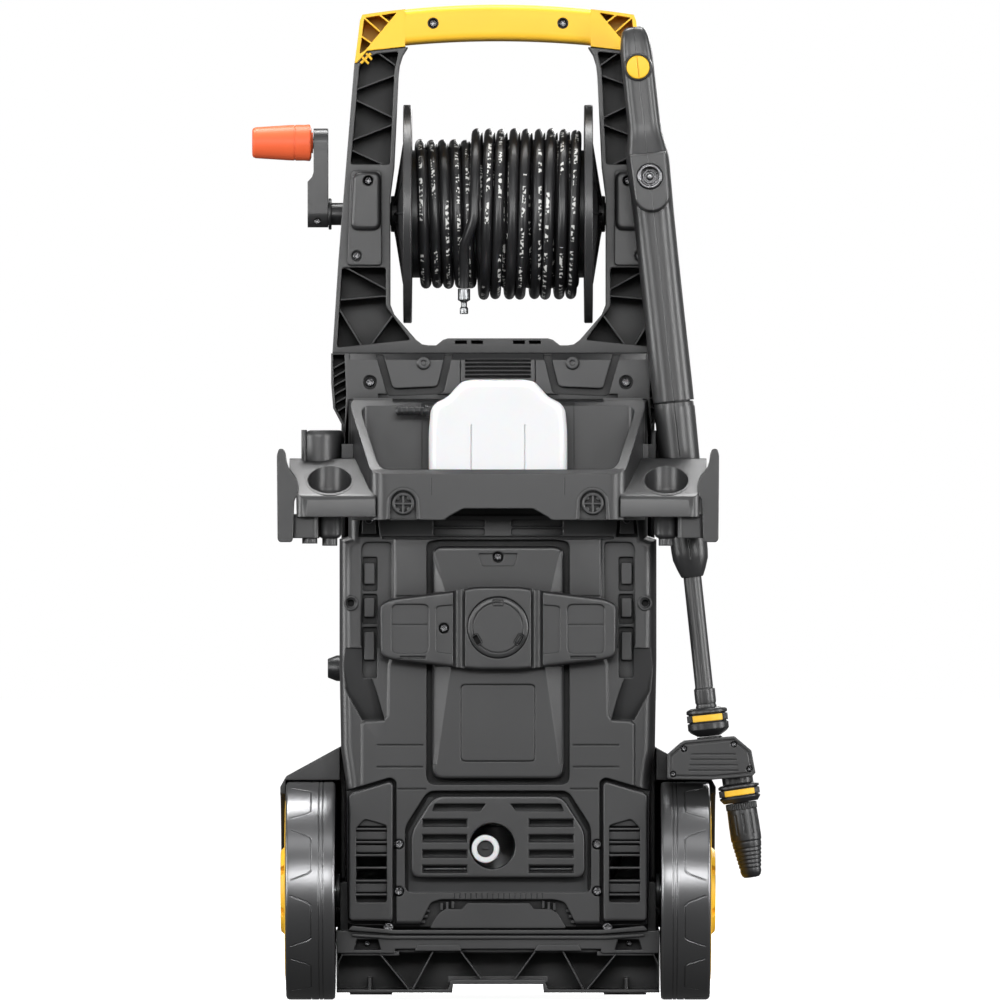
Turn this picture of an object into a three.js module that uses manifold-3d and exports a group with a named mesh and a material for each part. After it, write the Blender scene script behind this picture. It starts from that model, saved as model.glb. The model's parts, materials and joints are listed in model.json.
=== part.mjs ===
// Electric pressure washer with a hose reel in its handle, a spray lance clipped to its side and
// two wheels at the back. Millimetres, +Z up. The back of the machine faces -Y.
// X = 0 is the machine's middle plane until the whole group is centred at the end.
import * as THREE from 'three';
import { mergeVertices } from 'three/addons/utils/BufferGeometryUtils.js';
import Module from 'manifold-3d';

const wasm = await Module();
wasm.setup();

// ---- driving dimensions ----
const GAP = 0.3; // between pieces that touch
const WHEEL = { radius: 109, y: -81, inner: 162.6, outer: 212, axle: 8 };
const REEL = { y: -30, z: 787, flange: 109.5, flangeIn: 87, flangeOut: 95, hub: 17.5, drum: 64, shaft: 11.2 };
const HOSE = { radius: 5.25, firstLayer: 75, secondLayer: 86, left: -84, step: -26, right: 84 };
const FRAME = { back: -62, front: 2, floor: -14, wall: 4.5, rib: 2.6 };
const BODY = { back: -115, split: -58, bottom: 70, shelf: 600, top: 646.7, wall: 4 };
const BRACKET = { back: -115.3, front: -200, bottom: 480, lip: 529, rim: 600, floor: 496, wall: 4 };
const LANCE = { x: 175.5, y: -118, z: 598, tilt: THREE.MathUtils.degToRad(6.1), sleeve: 20.5, tube: 9 };
const CRANK = { armIn: -170.3, armOut: -185, pinZ: 858.5, pin: 6 };
const TANK = { half: 69, back: -188, front: -119.7, bottom: 496.3, top: 620 };
const MOTOR = { y: 62, radius: 55, bottom: 172, top: 326, shaft: 6 };
const PIPE = { x: 133, y: -6, radius: 5.5 };
const NOZZLE_TILT = THREE.MathUtils.degToRad(8.3);

// ---- colours ----
const finish = (color, roughness, metalness = 0) => new THREE.MeshStandardMaterial({ color, roughness, metalness });
const CHARCOAL = finish(0x4a4b4d, 0.62);
const BLACK = finish(0x1b1c1e, 0.35);
const YELLOW = finish(0xf5c430, 0.4);
const ORANGE = finish(0xf0603a, 0.45);
const WHITE = finish(0xeef0f2, 0.35);
const STEEL = finish(0xb9bcc0, 0.3, 1);
const BRASS = finish(0xc9a050, 0.3, 1);
const ALUMINIUM = finish(0xa9adb2, 0.45, 1);
const RUBBER = finish(0x222325, 0.8);

// ---- solids ----
function toSolid(geometry) {
  geometry.deleteAttribute('normal');
  geometry.deleteAttribute('uv');
  const welded = mergeVertices(geometry, 1e-4);
  const corners = Float32Array.from(welded.attributes.position.array);
  const build = (faces) => new wasm.Manifold(
    new wasm.Mesh({ numProp: 3, vertProperties: corners, triVerts: Uint32Array.from(faces) }),
  );
  const faces = Array.from(welded.index.array);
  const solid = build(faces);
  return solid.volume() > 0 ? solid : build(faces.reverse());
}

function toGeometry(solid) {
  const mesh = solid.getMesh();
  const geometry = new THREE.BufferGeometry();
  geometry.setAttribute('position', new THREE.BufferAttribute(mesh.vertProperties, 3));
  geometry.setIndex(new THREE.BufferAttribute(mesh.triVerts, 1));
  geometry.computeVertexNormals();
  return geometry;
}

function box(x0, x1, y0, y1, z0, z1) {
  const geometry = new THREE.BoxGeometry(Math.abs(x1 - x0), Math.abs(y1 - y0), Math.abs(z1 - z0));
  return toSolid(geometry.translate((x0 + x1) / 2, (y0 + y1) / 2, (z0 + z1) / 2));
}

// Turns a shape's own axes (across, up, along) to the row's axes for a given long axis.
const FACING = {
  x: new THREE.Matrix4().makeBasis(
    new THREE.Vector3(0, 1, 0), new THREE.Vector3(0, 0, 1), new THREE.Vector3(1, 0, 0),
  ),
  y: new THREE.Matrix4().makeBasis(
    new THREE.Vector3(1, 0, 0), new THREE.Vector3(0, 0, 1), new THREE.Vector3(0, -1, 0),
  ),
  z: new THREE.Matrix4(),
};

// A flat outline pushed along an axis. Outlines are (y, z) for x, (x, z) for y and (x, y) for z.
function prism(axis, points, from, to) {
  const shape = new THREE.Shape(points.map(([a, b]) => new THREE.Vector2(a, b)));
  const geometry = new THREE.ExtrudeGeometry(shape, { depth: Math.abs(to - from), bevelEnabled: false });
  const start = axis === 'y' ? -Math.max(from, to) : Math.min(from, to);
  return toSolid(geometry.translate(0, 0, start).applyMatrix4(FACING[axis]));
}

// A profile of [radius, place along the axis] turned about an axis through (a, b).
function turned(axis, profile, a = 0, b = 0, segments = 24) {
  const points = profile.map(([r, h]) => new THREE.Vector2(r, h));
  const geometry = new THREE.LatheGeometry(points, segments);
  if (axis === 'x') geometry.rotateZ(-Math.PI / 2).translate(0, a, b);
  if (axis === 'y') geometry.translate(a, 0, b);
  if (axis === 'z') geometry.rotateX(Math.PI / 2).translate(a, b, 0);
  return toSolid(geometry);
}

function rod(axis, radius, from, to, a = 0, b = 0, segments = 24) {
  return turned(axis, [[0, from], [radius, from], [radius, to], [0, to]], a, b, segments);
}

function ring(axis, inner, outer, from, to, a = 0, b = 0, segments = 24) {
  const profile = [[inner, from], [outer, from], [outer, to], [inner, to], [inner, from]];
  return turned(axis, profile, a, b, segments);
}

const mirrorPoints = (points) => points.map(([a, b]) => [-a, b]).reverse();
const joined = (first, ...others) => others.reduce((sum, next) => sum.add(next), first);
const cut = (first, ...others) => others.reduce((rest, next) => rest.subtract(next), first);

function mirrored(solid) {
  return toSolid(toGeometry(solid).scale(-1, 1, 1));
}

const bothSides = (solid) => [solid, mirrored(solid)];

// Moves every edge of an anticlockwise outline inwards.
function inset(points, distance) {
  const count = points.length;
  const edges = points.map((point, i) => {
    const next = points[(i + 1) % count];
    const direction = new THREE.Vector2(next[0] - point[0], next[1] - point[1]).normalize();
    const normal = new THREE.Vector2(-direction.y, direction.x);
    return { start: new THREE.Vector2(...point).addScaledVector(normal, distance), direction };
  });
  return edges.map((edge, i) => {
    const before = edges[(i + count - 1) % count];
    const turn = before.direction.cross(edge.direction);
    if (Math.abs(turn) < 1e-6) return edge.start.toArray();
    const reach = edge.start.clone().sub(before.start).cross(edge.direction) / turn;
    return before.start.clone().addScaledVector(before.direction, reach).toArray();
  });
}

// A thin upright wall in the XZ plane from one point to another.
function rib([x0, z0], [x1, z1], y0, y1, thickness = FRAME.rib) {
  const along = new THREE.Vector2(x1 - x0, z1 - z0).normalize().multiplyScalar(thickness / 2);
  const corners = [
    [x0 + along.y, z0 - along.x], [x1 + along.y, z1 - along.x],
    [x1 - along.y, z1 + along.x], [x0 - along.y, z0 + along.x],
  ];
  return prism('y', corners, y0, y1);
}

const slots = (x0, x1, rows, y0, y1) => rows.map(([low, high]) => box(x0, x1, y0, y1, low, high));

// ---- handle frame and crosspiece ----
function handleFrame() {
  const right = [
    [166, 647], [160, 740], [144, 937.5], [125.6, 937.5], [125.6, 950], [90.5, 953.8], [96, 946],
    [99, 934], [104, 834], [108, 803], [108, 692], [82, 660.5], [74, 655], [62, 655], [55, 660.5],
  ];
  const outline = [...right, ...mirrorPoints(right)];
  const upper = [[152.6, 832], [143, 950], [93, 954], [99, 934], [104, 832]];
  const lower = [[166, 648], [160.3, 737], [108, 737], [108, 692], [80, 657]];
  const ribLines = [
    [[126, 952], [102, 935]], [[145, 910], [100, 927]], [[145, 902], [103, 882]],
    [[150, 859], [103, 877]], [[150, 852], [104, 831]], [[160, 737], [108, 709]],
    [[163, 700], [106, 705]], [[162, 696], [134, 650]], [[131, 650], [104, 687]],
  ];
  const ribs = ribLines.map(([from, to]) => rib(from, to, FRAME.back, FRAME.floor + 1));
  const pockets = [upper, lower].map((points) => prism('y', inset(points, FRAME.wall), FRAME.back - 1, FRAME.floor));
  const openings = pockets.map((pocket) => cut(pocket, ...ribs));
  const frame = cut(prism('y', outline, FRAME.back, FRAME.front), ...openings, ...openings.map(mirrored));
  const shaftHole = rod('x', REEL.shaft + GAP, -170, 170, REEL.y, REEL.z);
  const swivelRoom = box(116.7, 150.3, FRAME.back - 1, -0.2, 766.7, 807.3);
  const bushRoom = rod('x', 16.3, -151.3, -117.7, REEL.y, REEL.z);
  const pipeRoom = rod('z', PIPE.radius + 0.4, 640, 768, PIPE.x, PIPE.y, 12);
  const tongues = box(106, 120, -46, -14, 940, 960);
  return cut(frame, shaftHole, swivelRoom, bushRoom, pipeRoom).add(
    joined(...bothSides(tongues)),
  );
}

function handleCrosspiece() {
  const right = [
    [144, 938], [136, 985], [131, 988], [70, 994.5], [25, 996.6],
  ];
  const under = [[-25, 960.4], [25, 960.4], [87, 956.8], [91, 954.2], [126, 950.4], [126, 938]];
  const outline = [...right, ...mirrorPoints(right), [-126, 938], [-126, 950.4], [-91, 954.2], [-87, 956.8]];
  const body = prism('y', [...outline, ...under], FRAME.back - 4, FRAME.front + 4);
  const corner = [[139, 944], [134, 982.5], [101, 987], [134, 949]];
  const ribs = [
    rib([138, 966], [124, 951], FRAME.back - 4, -40, 2), rib([132, 984], [115, 967], FRAME.back - 4, -40, 2),
    rib([121, 986], [105, 974], FRAME.back - 4, -40, 2),
  ];
  const pocket = cut(prism('y', corner, FRAME.back - 5, -42), ...ribs);
  const socket = box(105.7, 120.3, -46.3, -13.7, 940, 960.3);
  return cut(body, pocket, mirrored(pocket), socket, mirrored(socket));
}

function bearingCap() {
  const plate = prism('y', [[151, 735], [148, 830], [117, 830], [116, 735]], FRAME.back - 6, FRAME.back - GAP);
  const dome = prism('y', [[146, 761], [143, 811], [121, 811], [121, 761]], FRAME.back - 10, FRAME.back - 5.9);
  return plate.add(dome);
}

// ---- reel ----
const reelShaft = () => rod('x', REEL.shaft, -177, 136, REEL.y, REEL.z);

function reelDrum() {
  return ring('x', REEL.drum - 6, REEL.drum, -REEL.flangeIn + GAP, REEL.flangeIn - GAP, REEL.y, REEL.z, 28);
}

function reelFlange() {
  const bore = REEL.shaft + 0.1;
  const profile = [
    [bore, 78], [REEL.drum - 7, 78], [REEL.drum - 7, REEL.flangeIn], [REEL.flange, REEL.flangeIn + 3],
    [REEL.flange, REEL.flangeOut], [70, REEL.flangeOut], [55, 100.5], [REEL.hub, 100.5], [REEL.hub, 107.6],
    [bore, 107.6], [bore, 78],
  ];
  return turned('x', profile, REEL.y, REEL.z, 28);
}

const reelBush = () => ring('x', REEL.shaft + 0.1, 16, -151, -118, REEL.y, REEL.z);

function reelSwivel() {
  const block = box(117, 150, -52, -0.5, 767, 807);
  return cut(block, rod('x', REEL.shaft + 0.1, 116, 136.5, REEL.y, REEL.z));
}

const crankWasher = () => ring('x', REEL.shaft + 0.1, 15.7, -170, -167, REEL.y, REEL.z);

function crankArm() {
  const top = CRANK.pinZ;
  const edge = [
    [CRANK.armIn, 773.5], [CRANK.armIn, 873], [CRANK.armOut, 873], [CRANK.armOut, 828], [-191, 820], [-191, 773.5],
  ];
  const round = new THREE.Shape();
  round.absarc(REEL.y, top, 14.3, 0, Math.PI);
  round.absarc(REEL.y, REEL.z + 1, 14.6, Math.PI, 2 * Math.PI);
  const side = prism('x', round.getPoints(8).slice(0, -1).map((p) => [p.x, p.y]), -192, -169);
  const holes = [
    rod('x', REEL.shaft + 0.1, -177.1, -169, REEL.y, REEL.z), rod('x', CRANK.pin + 0.1, -178.1, -192, REEL.y, top),
  ];
  return cut(prism('y', edge, REEL.y - 20, REEL.y + 20).intersect(side), ...holes);
}

const crankPin = () => rod('x', CRANK.pin, -242, -178.5, REEL.y, CRANK.pinZ, 16);

function crankGrip() {
  const profile = [
    [CRANK.pin + 0.4, -185.4], [10.5, -185.4], [10.5, -187], [18.3, -187], [15, -245], [13.4, -246.6],
    [0, -246.6], [0, -242.5], [CRANK.pin + 0.4, -242.5], [CRANK.pin + 0.4, -185.4],
  ];
  return turned('x', profile.slice(0, -1).slice(7).concat(profile.slice(0, 7)), REEL.y, CRANK.pinZ, 24);
}

// ---- hose: plain outer solids of the winding and of its free end ----
function hoseCoil() {
  const inner = REEL.drum + GAP;
  const profile = [
    [inner, HOSE.left], [HOSE.firstLayer, HOSE.left], [HOSE.firstLayer, HOSE.step],
    [HOSE.secondLayer, HOSE.step], [HOSE.secondLayer, HOSE.right], [inner, HOSE.right], [inner, HOSE.left],
  ];
  return turned('x', profile, REEL.y, REEL.z, 28);
}

// Points of the free end: round the drum, then straight down.
function tailRoute() {
  const reach = HOSE.firstLayer + HOSE.radius + 0.6;
  const around = [-20, -5, 10, 22, 32].map((degrees) => {
    const angle = THREE.MathUtils.degToRad(degrees);
    const y = REEL.y - reach * Math.cos(angle);
    return new THREE.Vector3(-34, y, REEL.z - reach * Math.sin(angle));
  });
  return [...around, new THREE.Vector3(-34, -93, 727), new THREE.Vector3(-34, -91.5, 712)];
}

function hoseTail() {
  const section = new THREE.Shape();
  section.absarc(0, 0, HOSE.radius, 0, 2 * Math.PI);
  const points = section.getPoints(5).slice(0, -1);
  const curve = new THREE.CatmullRomCurve3(tailRoute());
  return toSolid(new THREE.ExtrudeGeometry(new THREE.Shape(points), { steps: 12, extrudePath: curve }));
}

function hoseFitting() {
  const profile = [[0, 686], [4.2, 686], [4.2, 692], [3, 693], [3, 698], [6.2, 700], [6.2, 711.4], [0, 711.4]];
  return turned('z', profile, -34, -91.5, 16);
}

// ---- casing ----
function rearCover() {
  const right = [
    [150, BODY.bottom], [152, 218], [157, 252], [158.5, 461], [149.5, 464], [149.5, BODY.shelf],
  ];
  const outline = [...right, ...mirrorPoints(right)];
  const shell = prism('y', outline, BODY.back, BODY.split - GAP);
  const hollow = prism('y', inset(outline, BODY.wall), BODY.back + 12, BODY.split);
  const panelSeat = box(-71.5, 71.5, BODY.back - 1, -107, 215, 460);
  const ventSeat = prism('y', ventOutline(93), BODY.back - 1, -107);
  const grilleSeat = box(103, 149, BODY.back - 1, -106.7, 76, 220);
  const inletHole = rod('y', 22.5, -130, -90, -5.8, 154.3);
  const ladders = slots(122, 135, [[412, 441], [378, 407], [326, 373]], BODY.back - 1, -109);
  const scoop = prism('x', [[-116, 347], [-105, 340], [-105, 300], [-116, 278]], 114, 152);
  const grooves = [
    ...slots(75, 121, [[254, 256.5], [232, 234.5]], BODY.back - 1, -113),
    ...slots(75, 100, [[210, 212.5]], BODY.back - 1, -113),
  ];
  const bossHole = rod('y', 6, BODY.back - 1, -111, 147, 397, 16);
  const oneSide = [...ladders, scoop, ...grooves, bossHole, grilleSeat];
  const vents = slots(14, 65, [[473, 482], [464, 471]], BODY.back - 1, -109);
  const axleRoom = box(-160, 160, WHEEL.y - 15, BODY.split, BODY.bottom - 1, WHEEL.radius + 9);
  const tankRoom = slots(-120, 120, [[560, 601]], BODY.back - 1, -111);
  const cuts = [hollow, panelSeat, ventSeat, inletHole, axleRoom, ...oneSide, ...vents, ...tankRoom];
  return cut(shell, ...cuts, ...oneSide.map(mirrored), ...vents.map(mirrored));
}

const ventOutline = (half) => {
  const right = [[half, 106], [half, 172], [half - 22, 208]];
  return [...right, ...mirrorPoints(right)];
};

function frontCover() {
  const side = [
    [BODY.split, BODY.bottom], [165, BODY.bottom], [184, 110], [190, 330], [172, 500], [136, BODY.shelf],
    [BODY.split, BODY.shelf],
  ];
  const bulk = prism('x', side, -157, 157);
  const hollow = prism('x', [
    [BODY.split - 1, BODY.bottom + 4], [162, BODY.bottom + 4], [179.5, 112], [185.5, 330], [168, 498],
    [132, BODY.shelf - 4], [BODY.split - 1, BODY.shelf - 4],
  ], -153, 153);
  const axleRoom = box(-158, 158, BODY.split - 1, WHEEL.y + 50, BODY.bottom - 1, WHEEL.radius + 12);
  const pumpRoom = box(-60, 60, 0, 120, BODY.bottom - 1, BODY.bottom + 5);
  const pipeRoom = rod('z', PIPE.radius + 2, BODY.shelf - 5, BODY.shelf + 1, PIPE.x, PIPE.y, 12);
  const panelSeat = rod('y', 42, 150, 184, 0, 430, 40);
  const knobBoss = cut(rod('y', 46, 150, 188, 0, 430, 40), rod('y', 42, 183.9, 190, 0, 430, 40));
  const knobStem = rod('y', 9.3, 170, 190, 0, 430);
  const intake = slots(-90, 90, [150, 166, 182, 198, 214].map((z) => [z, z + 8]), 176, 192);
  const glandHole = rod('x', 8.3, -160, -150, 110, 330);
  const shell = cut(bulk, hollow).add(knobBoss).add(panelSeat);
  return cut(shell.add(joined(...bothSides(fender()))), axleRoom, pumpRoom, pipeRoom, knobStem, ...intake, glandHole);
}

// The mudguard over the front half of a wheel.
function fender() {
  const slope = [[150, 256], [150, 60], [218, 60], [218, 213], [213, 222], [158.7, 252]];
  const block = prism('y', slope, WHEEL.y - 3, 132);
  const sideView = prism('x', [[-84, 180], [-84, 260], [20, 260], [100, 190], [132, 70], [-84, 70]], 149, 219);
  const tyreRoom = rod('x', WHEEL.radius + 2, 157.2, 212.7, WHEEL.y, WHEEL.radius, 36);
  const capRoom = rod('x', 97, 200, 220, WHEEL.y, WHEEL.radius, 28);
  const below = prism('x', [[-120, 0], [-120, 175], [-40, 175], [48, 0]], 157.2, 220);
  const inside = box(149, 156.5, -90, 182, 50, 260);
  const besideRearCover = box(149, 158.2, -90, BODY.split, 50, 260);
  return cut(block.intersect(sideView), tyreRoom, capRoom, below, inside, besideRearCover);
}

function centrePanel() {
  const right = [[65.5, 229], [65.5, 446], [57.5, 454]];
  const outline = [[57.5, 221], ...right, ...mirrorPoints(right), [-57.5, 221]];
  const plate = prism('y', outline, -120, -107.3);
  const label = box(-37.4, 37.4, -121, -119, 238.5, 316);
  const screwSeat = prism('y', [[14, 433], [20, 447], [-20, 447], [-14, 433]], -121, -117);
  const facet = prism('y', [[65, 334], [47, 334], [62, 234], [65, 234]], -121, -118.6);
  return cut(plate, label, screwSeat, ...bothSides(facet));
}

function crossbar() {
  const right = [[118, 341], [118, 399], [44, 409], [25, 414]];
  const outline = [[25, 330], [44, 333], ...right, ...mirrorPoints(right), [-44, 333], [-25, 330]];
  const bar = prism('y', outline, -140, -120.3);
  const feet = prism('y', [[75, 338], [117, 343], [117, 397], [75, 402]], -121, BODY.back - GAP);
  const band = box(33, 43.5, -141, -135.5, 320, 420);
  const pocket = box(46, 61, -141, -134, 348, 394);
  const pad = cut(box(69, 106, -141, -139, 347, 396), box(71, 104, -142, -138, 349, 394));
  const capSeat = rod('y', 30.9, -141, -134, 0, 372.7, 28);
  return cut(joined(bar, ...bothSides(feet)), ...bothSides(band), ...bothSides(pocket), ...bothSides(pad), capSeat);
}

const crossbarCap = () => cut(
  rod('y', 30.3, -142, -134.3, 0, 372.7),
  ring('y', 24, 26, -143, -140.8, 0, 372.7),
);

function lowerVentPanel() {
  const plate = prism('y', ventOutline(87), -122, -107.3);
  const outer = slots(31.5, 75, [[174, 181], [159, 165], [143, 150], [128, 135]], -123, -114);
  const top = slots(12, 66, [[189, 197]], -123, -114);
  const sides = [...outer, ...top];
  return cut(plate, ...sides, ...sides.map(mirrored), rod('y', 22.4, -123, -100, -5.8, 154.3));
}

function sideGrille() {
  const plate = box(105, 147, -119, -107, 78, 218);
  const rows = [[172, 180], [159, 168], [146, 155], [133, 142], [120, 129], [107, 116]];
  return cut(plate, ...slots(111, 141, rows, -120, -112));
}

function upperCover() {
  const low = BODY.shelf + GAP;
  const side = [[-95, low], [134, low], [96, BODY.top], [-88, BODY.top], [-95, 640]];
  const bulk = prism('x', side, -150, 150);
  const hollow = prism('x', [[-84, 590], [126, 590], [92, BODY.top - 4], [-84, BODY.top - 4]], -144, 144);
  const wing = prism('y', [[150, 646.7], [150, 604], [152.7, 568], [165, 592], [167, 617], [167, 646.7]], -95, BODY.split - 0.5);
  const wingRoom = prism('y', inset([[150, 646.7], [149, 604], [152.7, 568], [165, 592], [167, 617], [167, 646.7]], 4), -96, -64);
  const island = [[105, 613], [116.5, 650], [51.6, 650], [61, 613]];
  const groove = cut(prism('y', inset(island, -7), -97, -89), prism('y', island, -98, -88));
  const boss = rod('y', 6.6, -97, -88, 74.5, 637.6, 16);
  const vents = slots(-36, 36, [[620, 623], [627, 630], [634, 637], [641, 644]], -96, -88);
  const pipeRoom = rod('z', PIPE.radius + 0.4, 590, 650, PIPE.x, PIPE.y, 12);
  const body = cut(joined(bulk, ...bothSides(wing)), hollow, ...bothSides(wingRoom), ...bothSides(groove), ...vents);
  return cut(joined(body, ...bothSides(boss)), pipeRoom);
}

// ---- accessory bracket ----
const rimSlope = [
  [BRACKET.back + 1, BRACKET.rim], [BRACKET.back + 1, BRACKET.rim + 20], [BRACKET.front - 5, BRACKET.rim + 20],
  [BRACKET.front - 5, BRACKET.lip - 4],
];

function basket() {
  const plan = [[-150, BRACKET.back], [-124, BRACKET.front], [124, BRACKET.front], [150, BRACKET.back]];
  const outer = prism('z', plan, BRACKET.bottom, BRACKET.rim);
  const inner = prism('z', inset(plan, BRACKET.wall), BRACKET.floor, BRACKET.rim + 1);
  const middle = prism('y', [[54, 479], [34, BRACKET.floor - 5], [-34, BRACKET.floor - 5], [-54, 479]], -201, -115);
  const under = box(60, 116, -195, -119, BRACKET.bottom - 1, BRACKET.floor - 5);
  const slope = prism('x', rimSlope, -160, 160);
  const pads = prism('y', [[108, 480], [108, 513], [80, 513], [80, 480]], BRACKET.front, -183);
  const tub = cut(outer, inner, middle, ...bothSides(under));
  return cut(joined(tub, ...bothSides(pads)), slope);
}

function tray() {
  const side = [
    [-142, 541], [-142, 535], [-195, 502], [-195, 483], [BRACKET.front, 483], [BRACKET.front, 506],
  ];
  const plate = prism('x', side, 122, 209.5);
  const cup = turned('z', [[0, 454], [7, 454], [7, 463], [11.5, 464], [11.5, 485], [24, 505], [24, 540], [0, 540]], 168, -174, 20);
  const above = prism('x', [[-142.1, 541], [BRACKET.front, 506], [BRACKET.front, 560], [-142.1, 560]], 130, 210);
  const bore = turned('z', [[0, 468], [9, 468], [9, 487], [20.5, 506], [20.5, 545], [0, 545]], 168, -174, 20);
  const hook = prism('y', [[209, 458], [216, 458], [220.6, 470], [220.6, 551], [213, 551], [209, 530]], BRACKET.front, -150);
  return cut(joined(plate, cut(cup, above), hook), bore);
}

// The clip behind a tray, open outwards, that the lance sleeve is pushed into.
function clip() {
  const centre = 180;
  const bore = LANCE.sleeve + 1.4;
  const wall = 4;
  const end = 193.6;
  const block = joined(
    rod('z', bore + wall, 529, 570, centre, LANCE.y, 20),
    box(centre, end, LANCE.y - bore - wall, LANCE.y + bore + wall, 529, 570),
    box(151, centre, LANCE.y - 19, LANCE.y + 19, 529, 570),
    box(139, 160, LANCE.y - 24, BRACKET.back, 529, 570),
  );
  const channel = joined(
    rod('z', bore, 520, 580, centre, LANCE.y, 20),
    box(centre, 210, LANCE.y - bore, LANCE.y + bore, 520, 580),
  );
  const deep = rod('z', bore, 520, 580, centre - 2, LANCE.y, 20);
  return cut(block, channel, deep);
}

function accessoryBracket() {
  const inside = prism('z', [[145, BRACKET.back], [-145, BRACKET.back], [-119, -195], [119, -195]], 478, 610);
  const arms = joined(...bothSides(cut(joined(tray(), clip()), inside)));
  const lock = rod('y', 8, BRACKET.front - 1, -186, 94.3, 496.3, 12);
  const tube = mirrored(rod('z', 7, 457, 484, 189, -190, 10));
  return cut(joined(basket(), arms, tube), ...bothSides(lock));
}

function bracketLock() {
  const head = rod('y', 10.8, BRACKET.front - 4, BRACKET.front - GAP, 94.3, 496.3, 16);
  const cross = joined(box(87, 101.6, -210, -201.6, 494.8, 497.8), box(92.8, 95.8, -210, -201.6, 489, 503.6));
  return cut(head, cross).add(rod('y', 7.5, BRACKET.front - 1, -187, 94.3, 496.3, 12));
}

// ---- detergent tank ----
function detergentTank() {
  const right = [[TANK.half, TANK.bottom], [TANK.half, 590], [64, 597], [50, 602], [36, TANK.top - 3], [32, TANK.top]];
  return prism('y', [...right, ...mirrorPoints(right)], TANK.back, TANK.front);
}

const tankBarb = () => turned('x', [
  [0, -TANK.half - GAP], [5, -TANK.half - GAP], [5, -76], [4, -77], [5, -84], [4, -85], [5, -92], [3.4, -102], [0, -102],
], -150, 584, 12);

// ---- base, wheels and feet ----
function baseFrame() {
  const top = BODY.bottom - GAP;
  const right = [[36, 18], [42, 7.5], [158, 7.5], [158, top]];
  const bulk = prism('y', [...right, ...mirrorPoints(right)], -112, 168);
  const under = [[36, 22], [46, 12], [153, 12], [153, 60]];
  const hollow = prism('y', [...under, ...mirrorPoints(under)], -84, 163);
  const behind = [[38, 24], [48, 12], [154, 12], [154, 50]];
  const backRoom = prism('y', [...behind, ...mirrorPoints(behind)], -113, -88);
  const lines = [
    [[152, 52], [158, 30]], [[104, 52], [70, 10]], [[46, 52], [68, 10]], [[20, 52], [-4, 20]], [[122, 52], [122, 10]],
  ];
  const ribs = lines.flatMap(([from, to]) => bothSides(rib(from, to, -110, -86, 3)));
  const cheek = box(146, 158, WHEEL.y - 14, WHEEL.y + 14, 60, WHEEL.radius + 8);
  const axleHole = rod('x', WHEEL.axle + 0.1, -170, 170, WHEEL.y, WHEEL.radius);
  const openBelow = box(50, 148, -78, 108, 6, 13);
  const frame = cut(bulk, hollow, cut(backRoom, ...ribs), ...bothSides(openBelow));
  return cut(joined(frame, ...bothSides(cheek)), axleHole);
}

const wheelAxle = () => rod('x', WHEEL.axle, -211, 211, WHEEL.y, WHEEL.radius);

function wheel() {
  const bore = WHEEL.axle + 0.3;
  const { inner, outer, radius } = WHEEL;
  const profile = [
    [bore, inner + 2], [96, inner + 2], [104, inner], [radius, inner + 3], [radius, outer - 3],
    [radius - 3, outer], [92, outer], [92, 176], [30, 176], [30, 211.5], [bore, 211.5], [bore, inner + 2],
  ];
  return turned('x', profile, WHEEL.y, WHEEL.radius, 32);
}

function hubcap() {
  const profile = [
    [0, 211.9], [30.3, 211.9], [30.3, 204.3], [91, 204.3], [91, 212.6], [41, 213.6], [38, 217], [0, 217],
  ];
  return turned('x', profile, WHEEL.y, WHEEL.radius, 28);
}

const frontFoot = () => cut(box(107, 150, 120, 164, 0, 7.2), box(115, 142, 128, 156, -1, 2));

// ---- spray lance, in its own frame: origin at the joint with the gun, +Z up the lance ----
function gunHalf() {
  const side = [
    [-20, 0.5], [20, 0.5], [20, 196], [22, 214], [22, 352], [16, 368], [4, 376], [-8, 374], [-14, 362],
    [-14, 274], [-31, 246], [-31, 196], [-20, 180],
  ];
  const body = prism('x', side, 0.15, 40);
  const face = prism('y', [[0, 0.5], [20.5, 0.5], [20, 185], [21.5, 246], [16.5, 274], [16, 350], [13, 366], [7, 376], [0, 377]], -40, 40);
  const triggerRoom = box(-1, 9.5, 5, 40, 198, 332);
  const valveRoom = rod('z', 10.3, 30, 197, 0, 0, 20);
  const inletRoom = rod('y', 12.7, -40, -12, 0, 226, 24);
  const buttonRoom = rod('y', 11.9, -20, -4.7, 0, 336, 24);
  return cut(body.intersect(face), triggerRoom, valveRoom, inletRoom, buttonRoom);
}

const gunValve = () => joined(rod('z', 10, 31, 176, 0, 0, 20));

function gunInlet() {
  const profile = [
    [0, -13], [12.4, -13], [12.4, -35], [7.5, -35], [7.5, -22], [0, -22], [0, -13],
  ];
  return turned('y', profile.slice(0, -1), 0, 226, 24);
}

function gunTrigger() {
  const side = [
    [8, 203], [16, 200], [30, 206], [38, 230], [41.5, 262], [41.5, 300], [39, 322], [34, 322], [35, 298], [33, 262],
    [28, 238], [14, 224],
  ];
  return prism('x', side, -8, 8);
}

const gunButton = () => cut(rod('y', 11.6, -17, -8, 0, 336, 24), box(-1, 1, -18, -16, 326, 346));

function lanceSleeve() {
  const profile = [
    [LANCE.tube + GAP, 0], [LANCE.sleeve, 0], [18.5, -158], [10.2, -176], [LANCE.tube + GAP, -176], [LANCE.tube + GAP, 0],
  ];
  return turned('z', profile);
}

function lanceTube() {
  const profile = [[3, -0.5], [LANCE.tube, -0.5], [LANCE.tube, -288], [10.5, -290], [10.5, -335.8], [3, -335.8], [3, -0.5]];
  return turned('z', profile);
}

function upperCollar() {
  const profile = [
    [10.8, -307], [16, -307], [20.5, -311], [20.5, -330], [13, -335], [10.8, -335], [10.8, -307],
  ];
  return turned('z', profile);
}

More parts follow.
